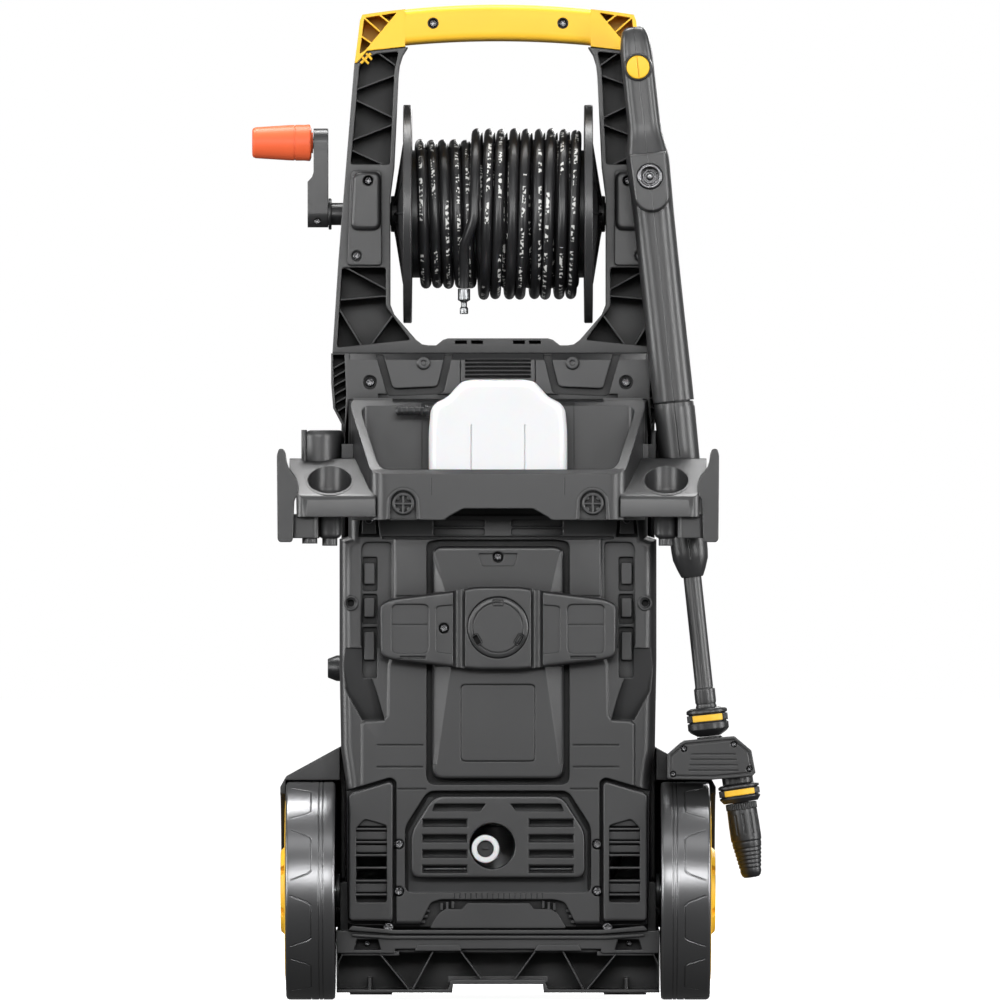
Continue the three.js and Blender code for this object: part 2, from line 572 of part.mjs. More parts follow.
// ---- lance head and nozzle, upright in the row's own axes ----
function lanceHead() {
  const outline = [[169, 222.5], [214, 220.8], [257.5, 226], [253, 250], [236, 264], [183, 259], [169, 246]];
  const block = prism('y', outline, LANCE.y - 24, LANCE.y + 24);
  return block;
}

// The nozzle hangs below the head's outer end, on an axis of its own.
function nozzleFrame() {
  const frame = new THREE.Group();
  frame.position.set(240, LANCE.y, 216);
  frame.rotation.y = -NOZZLE_TILT;
  return frame;
}

function lowerCollar() {
  const profile = [[8.4, 0.5], [20.5, 0.5], [20.5, -12], [16.4, -18], [8.4, -18], [8.4, 0.5]];
  return turned('z', profile);
}

function rotaryNozzle() {
  const profile = [
    [0, -92], [7, -94], [9.4, -91], [15.8, -54], [16.4, -18.4], [8.1, -18.4], [8.1, -4], [0, -4],
  ];
  return turned('z', profile);
}

// ---- internals ----
const motor = () => ring('z', MOTOR.shaft + 0.4, MOTOR.radius, MOTOR.bottom, MOTOR.top, 0, MOTOR.y);

function motorRotor() {
  const profile = [
    [0, 150], [MOTOR.shaft, 150], [MOTOR.shaft, 330], [50, 333], [50, 350], [0, 350],
  ];
  return turned('z', profile, 0, MOTOR.y, 24);
}

function pumpBody() {
  const body = rod('z', 46, 112, MOTOR.bottom - GAP, 0, MOTOR.y, 32);
  return cut(body, rod('z', MOTOR.shaft + 0.4, 149, 173, 0, MOTOR.y));
}

function pumpHead() {
  const block = box(-40, 40, MOTOR.y - 40, MOTOR.y + 40, BODY.bottom, 111.7);
  return cut(block, rod('x', 6.4, 30, 41, MOTOR.y, 94, 12));
}

function waterInlet() {
  const profile = [[8.6, -127], [14, -127], [14, -108], [20, -106], [20, -100], [10, -98], [10, 15.7], [8.6, 15.7], [8.6, -127]];
  return turned('y', profile, -5.8, 154.3, 24);
}

function outletPipe() {
  const section = new THREE.Shape();
  section.absarc(0, 0, PIPE.radius, 0, 2 * Math.PI);
  const points = section.getPoints(4).slice(0, -1);
  const route = [
    [40.3, MOTOR.y, 94], [70, MOTOR.y, 94], [105, 48, 110], [128, 14, 170], [PIPE.x, PIPE.y, 240],
    [PIPE.x, PIPE.y, 420], [PIPE.x, PIPE.y, 600], [PIPE.x, PIPE.y, 766.7],
  ];
  const curve = new THREE.CatmullRomCurve3(route.map((point) => new THREE.Vector3(...point)));
  return toSolid(new THREE.ExtrudeGeometry(new THREE.Shape(points), { steps: 24, extrudePath: curve }));
}

const switchBox = () => box(-34, 34, 120, 149.7, 400, 470);

function powerKnob() {
  const dial = turned('y', [[0, 188.3], [34, 188.3], [31, 202], [0, 202]], 0, 430, 32);
  const bar = prism('x', [[201, 398], [205, 402], [205, 458], [201, 462]], -7, 7);
  return joined(dial, bar, rod('y', 9, 172, 189, 0, 430));
}

function cableGland() {
  const profile = [[5, -150.5], [8, -150.5], [8, -157.3], [13, -157.3], [13, -163], [9.5, -172], [5, -172], [5, -150.5]];
  return turned('x', profile, 110, 330, 20);
}

// ---- assembly ----
const group = new THREE.Group();
const LOOSE = ['hose_coil', 'hose_tail', 'hose_fitting'];

function place(name, solid, material, parent = group) {
  const mesh = new THREE.Mesh(toGeometry(solid), material);
  mesh.name = name;
  parent.add(mesh);
  return mesh;
}

function placePair(name, solid, material) {
  place(`${name}_right`, solid, material);
  place(`${name}_left`, solid, material).scale.x = -1;
}

place('base_frame', baseFrame(), CHARCOAL);
placePair('front_foot', frontFoot(), RUBBER);
place('wheel_axle', wheelAxle(), STEEL);
placePair('wheel', wheel(), BLACK);
placePair('hubcap', hubcap(), YELLOW);
place('rear_cover', rearCover(), CHARCOAL);
place('front_cover', frontCover(), CHARCOAL);
place('centre_panel', centrePanel(), CHARCOAL);
place('crossbar', crossbar(), CHARCOAL);
place('crossbar_cap', crossbarCap(), CHARCOAL);
place('lower_vent_panel', lowerVentPanel(), CHARCOAL);
placePair('side_grille', sideGrille(), CHARCOAL);
place('upper_cover', upperCover(), CHARCOAL);
place('accessory_bracket', accessoryBracket(), CHARCOAL);
placePair('bracket_lock', bracketLock(), CHARCOAL);
place('detergent_tank', detergentTank(), WHITE);
place('tank_barb', tankBarb(), BLACK);
place('handle_frame', handleFrame(), CHARCOAL);
place('handle_crosspiece', handleCrosspiece(), YELLOW);
placePair('bearing_cap', bearingCap(), CHARCOAL);
place('reel_bush', reelBush(), BLACK);
place('reel_swivel', reelSwivel(), BRASS);
place('reel_shaft', reelShaft(), BLACK);
place('reel_drum', reelDrum(), BLACK);
placePair('reel_flange', reelFlange(), BLACK);
place('crank_washer', crankWasher(), BLACK);
place('crank_arm', crankArm(), CHARCOAL);
place('crank_pin', crankPin(), STEEL);
place('crank_grip', crankGrip(), ORANGE);
place('hose_coil', hoseCoil(), BLACK);
place('hose_tail', hoseTail(), BLACK);
place('hose_fitting', hoseFitting(), STEEL);
place('motor', motor(), ALUMINIUM);
place('motor_rotor', motorRotor(), STEEL);
place('pump_body', pumpBody(), ALUMINIUM);
place('pump_head', pumpHead(), BRASS);
place('water_inlet', waterInlet(), WHITE);
place('outlet_pipe', outletPipe(), BLACK);
place('switch_box', switchBox(), BLACK);
place('power_knob', powerKnob(), YELLOW);
place('cable_gland', cableGland(), BLACK);
place('lance_head', lanceHead(), CHARCOAL);

const lance = new THREE.Group();
lance.position.set(LANCE.x, LANCE.y, LANCE.z);
lance.rotation.y = -LANCE.tilt;
group.add(lance);
const rightHalf = gunHalf();
place('gun_shell_right', rightHalf, CHARCOAL, lance);
place('gun_shell_left', rightHalf, CHARCOAL, lance).scale.x = -1;
place('gun_valve', gunValve(), BRASS, lance);
place('gun_inlet', gunInlet(), STEEL, lance);
place('gun_trigger', gunTrigger(), BLACK, lance);
place('gun_button', gunButton(), YELLOW, lance);
place('lance_sleeve', lanceSleeve(), CHARCOAL, lance);
place('lance_tube', lanceTube(), CHARCOAL, lance);
place('lance_collar_upper', upperCollar(), BLACK, lance);

const nozzle = nozzleFrame();
group.add(nozzle);
place('lance_collar_lower', lowerCollar(), BLACK, nozzle);
place('rotary_nozzle', rotaryNozzle(), BLACK, nozzle);

// Centres the machine over the origin, leaving out what belongs to the hose.
group.updateMatrixWorld(true);
const extent = new THREE.Box3();
group.traverse((item) => {
  if (item.isMesh && !LOOSE.includes(item.name)) extent.expandByObject(item, true);
});
const centre = extent.getCenter(new THREE.Vector3());
group.position.set(-centre.x, -centre.y, -extent.min.z);

export default group;
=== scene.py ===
"""Looks of the pressure washer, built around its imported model. Metres, +Z up, the back faces -Y."""
import json
import math

import bmesh
import bpy
from mathutils import Matrix, Vector


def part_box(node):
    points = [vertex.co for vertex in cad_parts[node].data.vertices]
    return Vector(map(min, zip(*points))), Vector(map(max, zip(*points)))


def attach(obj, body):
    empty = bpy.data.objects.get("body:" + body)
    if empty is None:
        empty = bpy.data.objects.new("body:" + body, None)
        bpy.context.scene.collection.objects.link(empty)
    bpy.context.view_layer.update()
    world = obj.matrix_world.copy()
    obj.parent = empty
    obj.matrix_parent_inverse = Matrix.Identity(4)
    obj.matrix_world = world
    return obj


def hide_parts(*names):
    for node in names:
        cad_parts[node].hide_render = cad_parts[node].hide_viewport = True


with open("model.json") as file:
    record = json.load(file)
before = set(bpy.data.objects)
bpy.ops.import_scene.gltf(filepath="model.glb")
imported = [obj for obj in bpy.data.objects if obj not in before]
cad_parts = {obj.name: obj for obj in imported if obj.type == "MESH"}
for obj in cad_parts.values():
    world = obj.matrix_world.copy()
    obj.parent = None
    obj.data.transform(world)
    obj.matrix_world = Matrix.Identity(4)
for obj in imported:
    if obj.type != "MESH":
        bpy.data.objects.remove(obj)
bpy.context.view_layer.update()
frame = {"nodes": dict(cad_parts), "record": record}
scene = bpy.context.scene
MM = 0.001

# ---- places worked out from the frame; shapes below are in the machine's own millimetres ----
cover_low, cover_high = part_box("rear_cover")
MIDDLE_X = (cover_low.x + cover_high.x) / 2  # the machine's middle plane
SHIFT_Y = cover_low.y + 115 * MM  # the rear cover's back is at y = -115
TO_ROW = Matrix.Translation((MIDDLE_X, SHIFT_Y, 0)) @ Matrix.Scale(MM, 4)
LANCE_FRAME = Matrix.Translation((175.5, -118, 598)) @ Matrix.Rotation(math.radians(-6.1), 4, "Y")
NOZZLE_FRAME = Matrix.Translation((240, -118, 216)) @ Matrix.Rotation(math.radians(-8.3), 4, "Y")
REEL_Y, REEL_Z = -30.0, 787.0
WHEEL_Y, WHEEL_Z = -81.0, 109.0
CRANK_PIN_Z = 858.5
CROSS_SCREW_X, CROSS_SCREW_Z = 65, 977.6
BUTTON_Z, INLET_Z = 336, 226  # up the lance's own axis
CAP_Z = 372.7  # the crossbar's round cap
VENT_X, VENT_Z = -5.8, 154.3
TAP_X, TAP_Z = -12.6, 151.4  # the water inlet
LOCK_X, LOCK_Z = 94.3, 496.3
CUP_X, CUP_Y = 167.6, -173.6
CLIP_X, CLIP_Y = 180, -118
TURNING_WELD, PIECE_WELD, NODE_WELD = 1e-4, 0.01, 0.02  # distances at which points merge


# ---- camera ----
def make_camera():
    data = bpy.data.cameras.new("camera")
    camera = bpy.data.objects.new("camera", data)
    scene.collection.objects.link(camera)
    distance = 20.0
    sharp_plane = -100  # the depth at which one millimetre is one thousandth of the frame
    sensor = 36
    data.sensor_width = sensor
    data.lens = sensor * distance  # the frame is one metre wide at the sharp plane
    camera.location = TO_ROW @ Vector((2, sharp_plane, 500)) - Vector((0, distance, 0))
    camera.rotation_euler = (math.radians(90), 0, 0)
    data.clip_end = 50
    scene.camera = camera


make_camera()


# ---- materials ----
# how far the painted crevice shade looks for nearby surfaces
CREVICE_REACH = 0.03
CORNER_RADIUS = 1.6 * MM
PRINT_WHITE = (0.62, 0.62, 0.6, 1)


def set_inputs(node, **values):
    """Sets a node's own values; _ in a name stands for a space."""
    for key, value in values.items():
        node.inputs[key.replace("_", " ")].default_value = value
    return node


class Paint:
    """A node material with a Principled shader and the object's own coordinates."""

    def __init__(self, name, color, roughness=0.5, metallic=0.0, **sockets):
        self.material = bpy.data.materials.new(name)
        self.material.use_nodes = True
        self.tree = self.material.node_tree
        self.shader = self.tree.nodes["Principled BSDF"]
        self.coords = self.add("ShaderNodeTexCoord").outputs["Object"]
        self.color = color
        set_inputs(self.shader, Base_Color=(*color, 1), Roughness=roughness, Metallic=metallic, **sockets)

    def add(self, kind, **settings):
        node = self.tree.nodes.new(kind)
        for key, value in settings.items():
            setattr(node, key, value)
        return node

    def link(self, start, end):
        self.tree.links.new(start, end)

    def noise(self, scale, detail=3.0, roughness=0.5, stretch=None):
        node = set_inputs(self.add("ShaderNodeTexNoise"), Scale=scale, Detail=detail, Roughness=roughness)
        place = self.coords
        if stretch:
            mapping = set_inputs(self.add("ShaderNodeMapping"), Scale=stretch)
            self.link(place, mapping.inputs["Vector"])
            place = mapping.outputs["Vector"]
        self.link(place, node.inputs["Vector"])
        return node.outputs["Fac"]

    def ramp(self, value, stops):
        node = self.add("ShaderNodeValToRGB")
        for element, (place, color) in zip(node.color_ramp.elements, stops):
            element.position = place
            element.color = (*color, 1)
        self.link(value, node.inputs["Fac"])
        return node.outputs["Color"]

    def spread(self, value, low, high):
        node = set_inputs(self.add("ShaderNodeMapRange"), To_Min=low, To_Max=high)
        self.link(value, node.inputs["Value"])
        return node.outputs["Result"]

    def vary_color(self, scale, amount, detail=4.0):
        value = self.noise(scale, detail)
        dark = [c * (1 - amount) for c in self.color]
        light = [min(1, c * (1 + amount)) for c in self.color]
        self.link(self.ramp(value, [(0.3, dark), (0.7, light)]), self.shader.inputs["Base Color"])

    def vary_roughness(self, scale, low, high):
        self.link(self.spread(self.noise(scale, 5.0), low, high), self.shader.inputs["Roughness"])

    def paint_crevice_shade(self, amount, specular):
        """Painted shade: grooves and corners get a darker colour and less specular, read from ambient
        occlusion.
        """
        hollow = set_inputs(self.add("ShaderNodeAmbientOcclusion", samples=6), Distance=CREVICE_REACH)
        openness = self.add("ShaderNodeMapRange", interpolation_type="SMOOTHSTEP")
        set_inputs(openness, From_Min=0.08, From_Max=0.9, To_Min=1 - amount, To_Max=1.0)
        self.link(hollow.outputs["AO"], openness.inputs["Value"])
        mix = set_inputs(self.add("ShaderNodeMix", data_type="RGBA", blend_type="MULTIPLY"), Factor=1.0)
        socket = self.shader.inputs["Base Color"]
        self.link(socket.links[0].from_socket, mix.inputs["A"])
        self.link(openness.outputs["Result"], mix.inputs["B"])
        self.link(mix.outputs["Result"], socket)
        shine = self.add("ShaderNodeMath", operation="MULTIPLY")
        shine.inputs[1].default_value = specular
        self.link(openness.outputs["Result"], shine.inputs[0])
        self.link(shine.outputs[0], self.shader.inputs["Specular IOR Level"])

    def bump(self, height, strength, distance):
        """Fine relief on top of corners that look slightly rounded."""
        soft = set_inputs(self.add("ShaderNodeBevel", samples=6), Radius=CORNER_RADIUS)
        node = set_inputs(self.add("ShaderNodeBump"), Strength=strength, Distance=distance)
        self.link(soft.outputs["Normal"], node.inputs["Normal"])
        self.link(height, node.inputs["Height"])
        self.link(node.outputs["Normal"], self.shader.inputs["Normal"])

    def grain(self, scale, strength, distance=0.0002):
        self.bump(self.noise(scale, 2.0, 0.6), strength, distance)


def moulded(name, color, low, high, grain=0.35, specular=0.5, crevice_shade_amount=0.0, metallic=0.0):
    """Moulded plastic: fine grain, slight random changes of tone and, if asked, painted shade in crevices."""
    paint = Paint(name, color, metallic=metallic, Specular_IOR_Level=specular)
    paint.vary_color(6.0, 0.10)
    paint.vary_roughness(22.0, low, high)
    paint.grain(1600.0, grain)
    # painted shade: darker colour and less specular in crevices
    if crevice_shade_amount:
        paint.paint_crevice_shade(crevice_shade_amount, specular)
    return paint.material


def hose_jacket():
    """Glossy black jacket with a broken white line printed along it; U runs along the hose."""
    paint = Paint("hose_jacket", (0.012, 0.012, 0.013), Coat_Weight=0.15, Coat_Roughness=0.25)
    paint.vary_roughness(60.0, 0.3, 0.42)
    paint.grain(900.0, 0.1)
    split = paint.add("ShaderNodeSeparateXYZ")
    paint.link(paint.add("ShaderNodeUVMap", uv_map="along").outputs["UV"], split.inputs["Vector"])

    def math_node(operation, first, second):
        node = paint.add("ShaderNodeMath", operation=operation)
        for socket, value in zip(node.inputs, (first, second)):
            if isinstance(value, (int, float)):
                socket.default_value = value
            else:
                paint.link(value, socket)
        return node.outputs[0]

    def noise_along(scale, across=0.0):
        """Noise that changes along the hose and, if asked, round it."""
        node = set_inputs(paint.add("ShaderNodeTexNoise", noise_dimensions="2D"), Scale=1, Detail=0)
        place = paint.add("ShaderNodeCombineXYZ")
        paint.link(math_node("MULTIPLY", split.outputs["X"], scale), place.inputs["X"])
        paint.link(math_node("MULTIPLY", split.outputs["Y"], across), place.inputs["Y"])
        paint.link(place.outputs["Vector"], node.inputs["Vector"])
        return node.outputs["Fac"]

    drift = math_node("MULTIPLY", math_node("SUBTRACT", noise_along(1.3), 0.5), 0.55)
    height = math_node("ADD", split.outputs["Y"], drift)
    off_line = math_node("ABSOLUTE", math_node("SUBTRACT", height, 0.25), 0)
    in_line = math_node("LESS_THAN", off_line, 0.052)
    worded = math_node("GREATER_THAN", noise_along(11.0), 0.42)
    broken = math_node("GREATER_THAN", noise_along(330.0, 9.0), 0.52)
    spaced = math_node("GREATER_THAN", noise_along(75.0), 0.44)
    lettered = math_node("MULTIPLY", broken, spaced)
    printed = math_node("MULTIPLY", math_node("MULTIPLY", in_line, worded), lettered)
    mix = paint.add("ShaderNodeMix", data_type="RGBA")
    mix.inputs["A"].default_value = (*paint.color, 1)
    mix.inputs["B"].default_value = PRINT_WHITE
    paint.link(printed, mix.inputs["Factor"])
    paint.link(mix.outputs["Result"], paint.shader.inputs["Base Color"])
    return paint.material


def metal(name, color, low, high):
    paint = Paint(name, color, metallic=1.0)
    paint.vary_roughness(180.0, low, high)
    paint.bump(paint.noise(700.0, 3.0, 0.6, (1, 1, 14)), 0.12, 0.0001)
    return paint.material


def milky_tank():
    paint = Paint("milky_plastic", (0.70, 0.705, 0.715), 0.32, Subsurface_Weight=0.2, Subsurface_Scale=0.008)
    paint.vary_color(9.0, 0.02)
    paint.vary_roughness(35.0, 0.26, 0.4)
    paint.grain(260.0, 0.08, 0.0005)
    return paint.material


MATERIALS = {
    # the charcoal plastic's last value is the strength of its painted crevice shade
    "charcoal": moulded("charcoal_plastic", (0.026, 0.0262, 0.027), 0.29, 0.38, 0.35, 0.6, 0.8),
    "black": moulded("black_plastic", (0.013, 0.0135, 0.0145), 0.3, 0.42, 0.2),
    "tyre": moulded("tread_plastic", (0.17, 0.171, 0.175), 0.26, 0.32, 0.06, 0.8, metallic=0.85),
    "yellow": moulded("yellow_plastic", (0.86, 0.50, 0.035), 0.36, 0.48, 0.15, 0.3),
    "orange": moulded("orange_plastic", (0.82, 0.13, 0.045), 0.36, 0.48, 0.15, 0.3),
    "white_tank": milky_tank(),
    "hose": hose_jacket(),
    "steel": metal("turned_steel", (0.24, 0.245, 0.25), 0.24, 0.38),
    "dark_steel": metal("blackened_steel", (0.17, 0.17, 0.175), 0.22, 0.34),
    "brass": metal("brass", (0.72, 0.5, 0.22), 0.24, 0.4),
    "aluminium": metal("cast_aluminium", (0.56, 0.57, 0.58), 0.38, 0.55),
    "foot_rubber": moulded("foot_rubber", (0.02, 0.02, 0.021), 0.7, 0.85, 0.5),
}


# ---- solids, as short-lived objects in millimetres ----
AXES = {
    "x": Matrix(((0, 0, 1), (1, 0, 0), (0, 1, 0))),
    "y": Matrix(((1, 0, 0), (0, 0, 1), (0, 1, 0))),
    "z": Matrix(((1, 0, 0), (0, 1, 0), (0, 0, 1))),
}


def weld(mesh, distance):
    """Merges points that lie together and drops what collapses."""
    work = bmesh.new()
    work.from_mesh(mesh)
    bmesh.ops.remove_doubles(work, verts=work.verts, dist=distance)
    bmesh.ops.dissolve_degenerate(work, edges=work.edges, dist=distance)
    work.to_mesh(mesh)
    work.free()


def face_outwards(mesh):
    work = bmesh.new()
    work.from_mesh(mesh)
    bmesh.ops.recalc_face_normals(work, faces=work.faces)
    if work.calc_volume(signed=True) < 0:
        bmesh.ops.reverse_faces(work, faces=work.faces)
    work.to_mesh(mesh)
    work.free()


def linked(mesh):
    item = bpy.data.objects.new("solid", mesh)
    scene.collection.objects.link(item)
    return item


def solid(points, faces):
    mesh = bpy.data.meshes.new("solid")
    mesh.from_pydata([tuple(point) for point in points], [], faces)
    face_outwards(mesh)
    return linked(mesh)


def loft(sections):
    """A closed body through a row of closed outlines that have the same number of points."""
    size = len(sections[0])
    points = [point for section in sections for point in section]
    faces = [tuple(range(size)), tuple(range(len(points) - size, len(points)))]
    for i in range(len(sections) - 1):
        for j in range(size):
            k = (j + 1) % size
            faces.append((i * size + j, i * size + k, (i + 1) * size + k, (i + 1) * size + j))
    return solid(points, faces)


def prism(axis, outline, start, end):
    """A flat outline pushed along an axis: (y, z) for x, (x, z) for y and (x, y) for z."""
    turn = AXES[axis]
    return loft([[turn @ Vector((a, b, c)) for a, b in outline] for c in (start, end)])


def box(x0, x1, y0, y1, z0, z1):
    return prism("z", [(x0, y0), (x1, y0), (x1, y1), (x0, y1)], z0, z1)


def turned(axis, profile, a=0.0, b=0.0, segments=72):
    """A closed profile of (radius, place along the axis) turned about an axis through (a, b)."""
    turn = AXES[axis]
    size = len(profile)
    points = []
    for t in around(segments):
        points += [turn @ Vector((a + r * math.cos(t), b + r * math.sin(t), h)) for r, h in profile]
    faces = []
    for i in range(segments):
        for j in range(size):
            n, k = (i + 1) % segments, (j + 1) % size
            faces.append((i * size + j, i * size + k, n * size + k, n * size + j))
    item = solid(points, faces)
    weld(item.data, TURNING_WELD)
    face_outwards(item.data)
    return item


def arc(start, end, steps):
    """Angles in radians from one number of degrees to another."""
    return [math.radians(start + (end - start) * i / steps) for i in range(steps + 1)]


def on_circle(a, b, radius, angles):
    return [(a + radius * math.cos(t), b + radius * math.sin(t)) for t in angles]


def rod(axis, radius, start, end, a=0.0, b=0.0, segments=32):
    return prism(axis, on_circle(a, b, radius, around(segments)), start, end)


def around(count):
    return [2 * math.pi * i / count for i in range(count)]


def ring(axis, inner, outer, start, end, a=0.0, b=0.0, segments=72):
    return turned(axis, [(inner, start), (outer, start), (outer, end), (inner, end)], a, b, segments)


def rectangle(x0, x1, z0, z1):
    return [(x0, z0), (x1, z0), (x1, z1), (x0, z1)]


def plate(outline, start, end, corner=0.0):
    """An outline seen from behind, pushed along Y, with rounded corners if asked."""
    return prism("y", soften(outline, corner) if corner else outline, start, end)


def stepped(outline, levels, corner=0.0, steps=4, shrink=0):
    """A body along Y through insets of an outline, one for each level of (y, inset)."""
    sections = []
    for y, pull in levels:
        shape = inset(outline, pull)
        if corner:
            shape = soften(shape, corner - shrink * pull, steps)
        sections.append([(x, y, z) for x, z in shape])
    return loft(sections)


def groove(outline, width, start, end, axis="y"):
    """A thin closed wall just inside an outline, to be cut out as a line."""
    return cut(prism(axis, outline, start, end), prism(axis, inset(outline, width), start - 1, end + 1))


def rib(start, end, y0, y1, thickness=1.5):
    """A thin upright wall in the XZ plane from one point to another."""
    (x0, z0), (x1, z1) = start, end
    reach = math.hypot(x1 - x0, z1 - z0)
    p, q = (x1 - x0) / reach * thickness / 2, (z1 - z0) / reach * thickness / 2
    return prism("y", [(x0 + q, z0 - p), (x1 + q, z1 - p), (x1 - q, z1 + p), (x0 - q, z0 + p)], y0, y1)


def mirror_points(points):
    return [(-a, b) for a, b in reversed(points)]


def symmetric(right):
    return [*right, *mirror_points(right)]


def soften(outline, radius, steps=4):
    """Rounds the corners of an outline."""
    result = []
    count = len(outline)
    for i in range(count):
        before, corner, after = (Vector(outline[(i + k) % count]) for k in (-1, 0, 1))
        back, on = before - corner, after - corner
        reach = min(radius, 0.45 * back.length, 0.45 * on.length)
        start, end = corner + back.normalized() * reach, corner + on.normalized() * reach
        for k in range(steps + 1):
            t = k / steps
            result.append(tuple(start * (1 - t) ** 2 + corner * 2 * t * (1 - t) + end * t ** 2))
    return result


def inset(outline, distance):
    """Moves every edge of an outline inwards."""
    area = sum(a[0] * b[1] - a[1] * b[0] for a, b in zip(outline, outline[1:] + outline[:1]))
    side = distance if area > 0 else -distance
    count = len(outline)
    lines = []
    for i in range(count):
        start, end = Vector(outline[i]), Vector(outline[(i + 1) % count])
        along = (end - start).normalized()
        lines.append((start + Vector((-along.y, along.x)) * side, along))
    result = []
    for i in range(count):
        (p, u), (q, v) = lines[i - 1], lines[i]
        cross = u.x * v.y - u.y * v.x
        if abs(cross) < 1e-6:
            result.append(tuple(q))
            continue
        reach = ((q.x - p.x) * v.y - (q.y - p.y) * v.x) / cross
        result.append(tuple(p + u * reach))
    return result


def discard(item):
    mesh = item.data
    bpy.data.objects.remove(item)
    bpy.data.meshes.remove(mesh)


def evaluated_mesh(item):
    bpy.context.view_layer.update()
    return bpy.data.meshes.new_from_object(item.evaluated_get(bpy.context.evaluated_depsgraph_get()))


def combine(base, others, operation):
    """Joins others to a solid, cuts them out of it or keeps what they share; others are used up."""
    for other in others:
        boolean = base.modifiers.new("boolean", "BOOLEAN")
        boolean.operation = operation
        boolean.solver = "EXACT"
        boolean.object = other
        mesh = evaluated_mesh(base)
        base.modifiers.clear()
        old = base.data
        base.data = mesh
        bpy.data.meshes.remove(old)
        discard(other)
    return base


def joined(base, *others):
    return combine(base, flat(others), "UNION")


def cut(base, *others):
    return combine(base, flat(others), "DIFFERENCE")


def common(base, *others):
    return combine(base, flat(others), "INTERSECT")


def flat(items):
    result = []
    for item in items:
        result += flat(item) if isinstance(item, (list, tuple)) else [item]
    return result


def copied(item):
    return linked(item.data.copy())


def mirrored(item):
    """A copy of a solid on the other side of the machine's middle plane."""
    copy = copied(item)
    copy.data.transform(Matrix.Scale(-1, 4, (1, 0, 0)))
    copy.data.flip_normals()
    return copy


def both(*items):
    return [side for item in flat(items) for side in (item, mirrored(item))]


def merged(items):
    """Separate solids in one mesh."""
    base, *others = flat(items)
    work = bmesh.new()
    for item in (base, *others):
        work.from_mesh(item.data)
    work.to_mesh(base.data)
    work.free()
    for other in others:
        discard(other)
    return base


def moved(item, matrix):
    item.data.transform(matrix)
    return item


def spun(item, angle, y, z):
    """Turns a solid about the X axis through (y, z)."""
    centre = Matrix.Translation((0, y, z))
    return moved(item, centre @ Matrix.Rotation(angle, 4, "X") @ centre.inverted())


# ---- from solid to finished piece ----
def paint_all(mesh, slot):
    mesh.materials.clear()
    mesh.materials.append(MATERIALS[slot])
    for polygon in mesh.polygons:
        polygon.use_smooth = True
        polygon.material_index = 0


def piece(name, item, slot, body, replaces=(), edge=0.7, segments=2, smooth=30, place=None):
    """Puts a solid in the row frame with rounded edges, a material and a body, and hides the nodes it stands
    for.
    """
    weld(item.data, PIECE_WELD)
    if place:
        item.data.transform(place)
    item.data.transform(TO_ROW)
    item.name = name
    item.data.name = name
    paint_all(item.data, slot)
    round_edges(item, edge, segments, smooth)
    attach(item, body)
    "steel" if slot == "dark_steel" else slot
    if replaces:
        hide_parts(*replaces)
    return item


def pair(name, right, slot, body, node, **looks):
    """The same piece on the right and on the left; {} in the names stands for the side."""
    for side, item in zip(("right", "left"), both(right)):
        piece(name.format(side), item, slot, body.format(side), [node.format(side)], **looks)


def screws(name, heads, body="root", edge=0.15):
    piece(name, merged(heads), "dark_steel", body, edge=edge)


def round_edges(item, edge, segments=2, smooth=30):
    if edge:
        bevel = item.modifiers.new("edges", "BEVEL")
        bevel.width = edge * MM
        bevel.segments = segments
        bevel.limit_method = "ANGLE"
        bevel.angle_limit = math.radians(smooth)
        bevel.use_clamp_overlap = True
        bevel.miter_outer = "MITER_ARC"
    weighted = item.modifiers.new("shading", "WEIGHTED_NORMAL")
    weighted.keep_sharp = True
    weighted.weight = 80
    if not edge:
        item.data.set_sharp_from_angle(angle=math.radians(smooth))


def dress(name, slot, width=0.6):
    """Gives a CAD node its material, welded corners and slightly rounded edges."""
    node = frame["nodes"][name]
    if "custom_normal" in node.data.attributes:
        node.data.attributes.remove(node.data.attributes["custom_normal"])
    paint_all(node.data, slot)
    welded = node.modifiers.new("weld", "WELD")
    welded.merge_threshold = NODE_WELD * MM
    round_edges(node, width)


# ---- hose: wound on the drum in two layers, its end hanging from the second ----
HOSE_RADIUS = 5.3
DRUM_RADIUS = 64.0
TAIL_X = -34.0


def eased(share):
    return share * share * (3 - 2 * share)


def hose_route():
    """Centreline of the hose in the machine's millimetres."""
    first = DRUM_RADIUS + HOSE_RADIUS + 0.3
    second = first + 2 * HOSE_RADIUS + 0.4
    crank_end, far_end, last_turn = -80.8, 78.5, -24.0
    points = []

    def add(x, radius, angle):
        points.append((x, REEL_Y - radius * math.cos(angle), REEL_Z - radius * math.sin(angle)))

    def wind(turns, x_from, x_to, radius, start, sway, steps=40):
        count = round(turns * steps)
        for i in range(count + 1):
            share = i / count
            angle = start + math.tau * turns * share
            lean = sway * math.sin(angle * 0.5 + 1.0) * math.sin(math.pi * share)
            add(x_from + (x_to - x_from) * share + lean, radius + 0.35 * math.sin(angle * 0.37), angle)
        return start + math.tau * turns

    angle = wind(14.0, crank_end, far_end, first, math.pi, 0.35)
    climb, climb_angle = 24, math.radians(120)
    for i in range(1, climb):  # the step up from the first layer to the second
        share = i / climb
        add(far_end, first + (second - first) * eased(share), angle + share * climb_angle)
    angle += climb_angle
    angle = wind(8 + 1 / 6, far_end, last_turn, second, angle, 1.1)
    last = math.tau - angle % math.tau + math.radians(28)
    for i in range(1, 21):  # the last part crosses over and comes down behind
        share = i / 20
        add(last_turn + (TAIL_X - last_turn) * eased(share), second, angle + share * last)
    return points + [(TAIL_X, -97.6, 739), (TAIL_X, -94.2, 729), (TAIL_X, -92.2, 720), (TAIL_X, -91.5, 712)]


